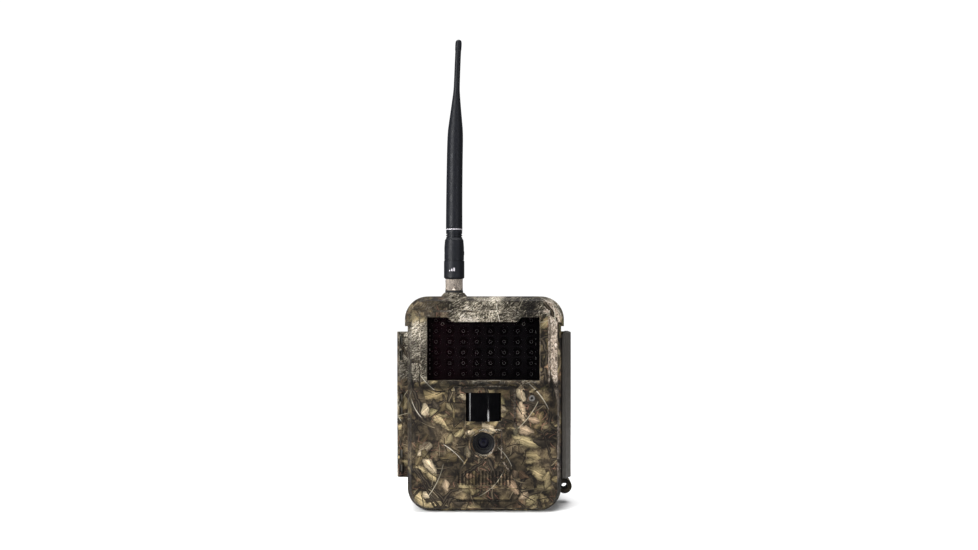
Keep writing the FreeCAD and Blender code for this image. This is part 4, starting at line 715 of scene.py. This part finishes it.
def led_cup_glints():
    """The small reflector ring inside each LED, drawn pale and matte as a painted glint,
    seen as a dim circle through the window.

    The heads of the two screws that hold the LED board have a like ring
    just in front of them: a painted highlight.
    """
    low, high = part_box("led_array")
    screws_low, screws_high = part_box("led_board_screws")
    radius = LED_RADIUS * MM
    pitch_x = (high.x - low.x - 2 * radius) / (LED_COLUMNS - 1)
    pitch_z = (high.z - low.z - 2 * radius) / (LED_ROWS - 1)
    head = (screws_high.z - screws_low.z) / 2
    places = [(low.x + radius + pitch_x * column, low.y + 0.9 * MM, low.z + radius + pitch_z * row)
              for column in range(LED_COLUMNS) for row in range(LED_ROWS)]
    # Pale rings just in front of the two screw heads: painted highlights.
    places += [(x, screws_low.y - 0.35 * MM, screws_low.z + head)
               for x in (screws_low.x + head, screws_high.x - head)]
    vertices, faces = [], []
    for x, front, z in places:
        start = len(vertices)
        for reach, depth in CUP_GLINT_EDGES:
            for step in range(CUP_GLINT_SIDES):
                turn = math.tau * step / CUP_GLINT_SIDES
                vertices.append((x + reach * MM * math.cos(turn), front + depth * MM,
                                 z + reach * MM * math.sin(turn)))
        for step in range(CUP_GLINT_SIDES):
            after = (step + 1) % CUP_GLINT_SIDES
            faces.append((start + step, start + after, start + CUP_GLINT_SIDES + after,
                          start + CUP_GLINT_SIDES + step))
    # Pale matte rings: painted glints on the LED reflectors and painted highlights on the screws.
    add_piece("led_reflector_glints", vertices, faces, "sim_plastic", "front_cover")


def block_faces(start):
    """Faces of a block whose eight corners begin at start, back four first."""
    quads = ((0, 1, 2, 3), (7, 6, 5, 4), (0, 4, 5, 1), (1, 5, 6, 2), (2, 6, 7, 3), (3, 7, 4, 0))
    return [tuple(start + corner for corner in quad) for quad in quads]


def painted_reflection_strips():
    """Short pale strips beside the LED grid, down both edges of its board: painted reflections seen
    along the window's side walls.
    """
    low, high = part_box("led_board")
    front = low.y
    vertices, faces = [], []
    for x, (top, count, pitch) in ((low.x + 2.3 * MM, LEFT_REFLECTION_STRIPS), (high.x - 4.5 * MM, RIGHT_REFLECTION_STRIPS)):
        for index in range(count):
            z = (top - pitch * index - 0.5 * math.sin(index * 2.3)) * MM
            half_x = (0.28 + 0.12 * math.sin(index * 1.7)) * MM
            half_z = (0.65 + 0.35 * math.sin(index * 3.1 + 1.0)) * MM
            start = len(vertices)
            for y in (front - 0.01 * MM, front - 0.12 * MM):
                vertices += [(x - half_x, y, z - half_z), (x + half_x, y, z - half_z),
                             (x + half_x, y, z + half_z), (x - half_x, y, z + half_z)]
            faces += block_faces(start)
    # Pale matte strips: painted reflections.
    add_piece("painted_reflection_strips", vertices, faces, "sim_plastic", "front_cover", False)


def signal_mark():
    """Three rising bars printed on the antenna's base, bent round it."""
    low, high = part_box("antenna_base")
    _, nut_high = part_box("antenna_nut")
    axis_x, axis_y = (low.x + high.x) / 2, (low.y + high.y) / 2
    radius = (high.x - low.x) / 2
    foot = nut_high.z + MARK_ABOVE_NUT * MM
    vertices, faces = [], []
    for index, height in enumerate(BAR_HEIGHTS):
        middle = (MARK_MIDDLE + (index - 1) * BAR_PITCH) * MM
        start = len(vertices)
        for reach in (radius - 0.05 * MM, radius + 0.03 * MM):
            for side, z in ((-1, 0.0), (1, 0.0), (1, height * MM), (-1, height * MM)):
                turn = (middle + side * BAR_HALF_WIDTH * MM) / radius
                vertices.append((axis_x + reach * math.sin(turn), axis_y - reach * math.cos(turn),
                                 foot + z))
        faces += block_faces(start)
    add_piece("signal_mark", vertices, faces, "antenna_band", "antenna_base", False)


# ---------------------------------------------------------------- studio

FLOOR_RADIUS = 0.50
FLOOR_FADE = 0.20


def studio_floor():
    """A pale disc that fades out into the pale surroundings."""
    mesh = bpy.data.meshes.new("studio_floor")
    shape = bmesh.new()
    bmesh.ops.create_circle(shape, cap_ends=True, segments=96, radius=FLOOR_RADIUS)
    shape.to_mesh(mesh)
    shape.free()
    g = Graph("studio_floor")
    tone = g.noise(g.point, 0.01, 2.0).step(0.3, 0.7, 0.88, 0.90)
    x, y, _ = g.split(g.point)
    reach = g.math("SQRT", x * x + y * y) * MM
    mesh.materials.append(g.finish(Base_Color=g.join(tone, tone, tone), Roughness=0.9,
                                   Specular_IOR_Level=0.0,
                                   Alpha=reach.step(FLOOR_FADE, FLOOR_RADIUS, 1.0, 0.0)))
    floor = bpy.data.objects.new("studio_floor", mesh)
    floor.location.z = -0.0002
    bpy.context.scene.collection.objects.link(floor)


def soft_light(name, place, aim, size, power):
    """A rectangular light that the camera doesn't see, turned to shine on the aim."""
    lamp = bpy.data.lights.new(name, "AREA")
    lamp.shape = "RECTANGLE"
    lamp.size, lamp.size_y = size
    lamp.energy = power
    thing = bpy.data.objects.new(name, lamp)
    thing.location = place
    direction = Vector(aim) - Vector(place)
    thing.rotation_euler = direction.to_track_quat("-Z", "Y").to_euler()
    thing.visible_camera = False
    bpy.context.scene.collection.objects.link(thing)


def studio_light():
    """A white room that gives only a dim fill, a large light above, and softer ones in front."""
    world = bpy.data.worlds.new("studio")
    world.use_nodes = True
    tree = world.node_tree
    background = tree.nodes["Background"]
    path = tree.nodes.new("ShaderNodeLightPath")
    level = tree.nodes.new("ShaderNodeMapRange")
    level.inputs["To Min"].default_value = 0.22
    level.inputs["To Max"].default_value = 1.05
    tree.links.new(path.outputs["Is Camera Ray"], level.inputs["Value"])
    tree.links.new(level.outputs[0], background.inputs["Strength"])
    background.inputs["Color"].default_value = (1.0, 1.0, 1.0, 1.0)
    bpy.context.scene.world = world
    soft_light("top_light", (0.0, 0.1, 1.5), (0.0, 0.0, 0.0), (1.4, 1.4), 42.0)
    soft_light("key_light", (-1.0, -1.1, 0.9), (0.0, 0.0, 0.12), (0.6, 0.9), 18.5)
    soft_light("fill_light", (1.0, -1.25, 0.5), (0.0, 0.0, 0.12), (0.5, 0.9), 5.5)
    soft_light("sensor_glint", (-0.262, -0.287, 0.16), (0.0, -0.049, 0.06), (0.012, 0.32), 1.4)
    soft_light("low_glint", (0.112, -0.430, 0.0095), (0.002, -0.049, 0.0625), (0.030, 0.008), 0.11)


def camera():
    """A level camera in front, a little right of the middle."""
    lens = bpy.data.cameras.new("camera")
    lens.sensor_width = 36.0
    lens.lens = 33.77
    lens.shift_y = 0.0203
    lens.clip_start = 0.01
    thing = bpy.data.objects.new("camera", lens)
    thing.location = (0.003, -0.640, 0.141)
    thing.rotation_euler = (math.pi / 2, 0.0, 0.0)
    bpy.context.scene.collection.objects.link(thing)
    bpy.context.scene.camera = thing


def colour_management():
    """Plain display colours."""
    view = bpy.context.scene.view_settings
    view.view_transform = "Standard"
    view.look = "None"


camera()
colour_management()
studio_light()
studio_floor()
paint_nodes()
whip_piece("antenna_whip", "antenna_sleeve", WHIP_PROFILE, 90, 56)
whip_piece("antenna_end", "antenna_tip", TIP_PROFILE, 20, 40)
led_cup_glints()
painted_reflection_strips()
signal_mark()
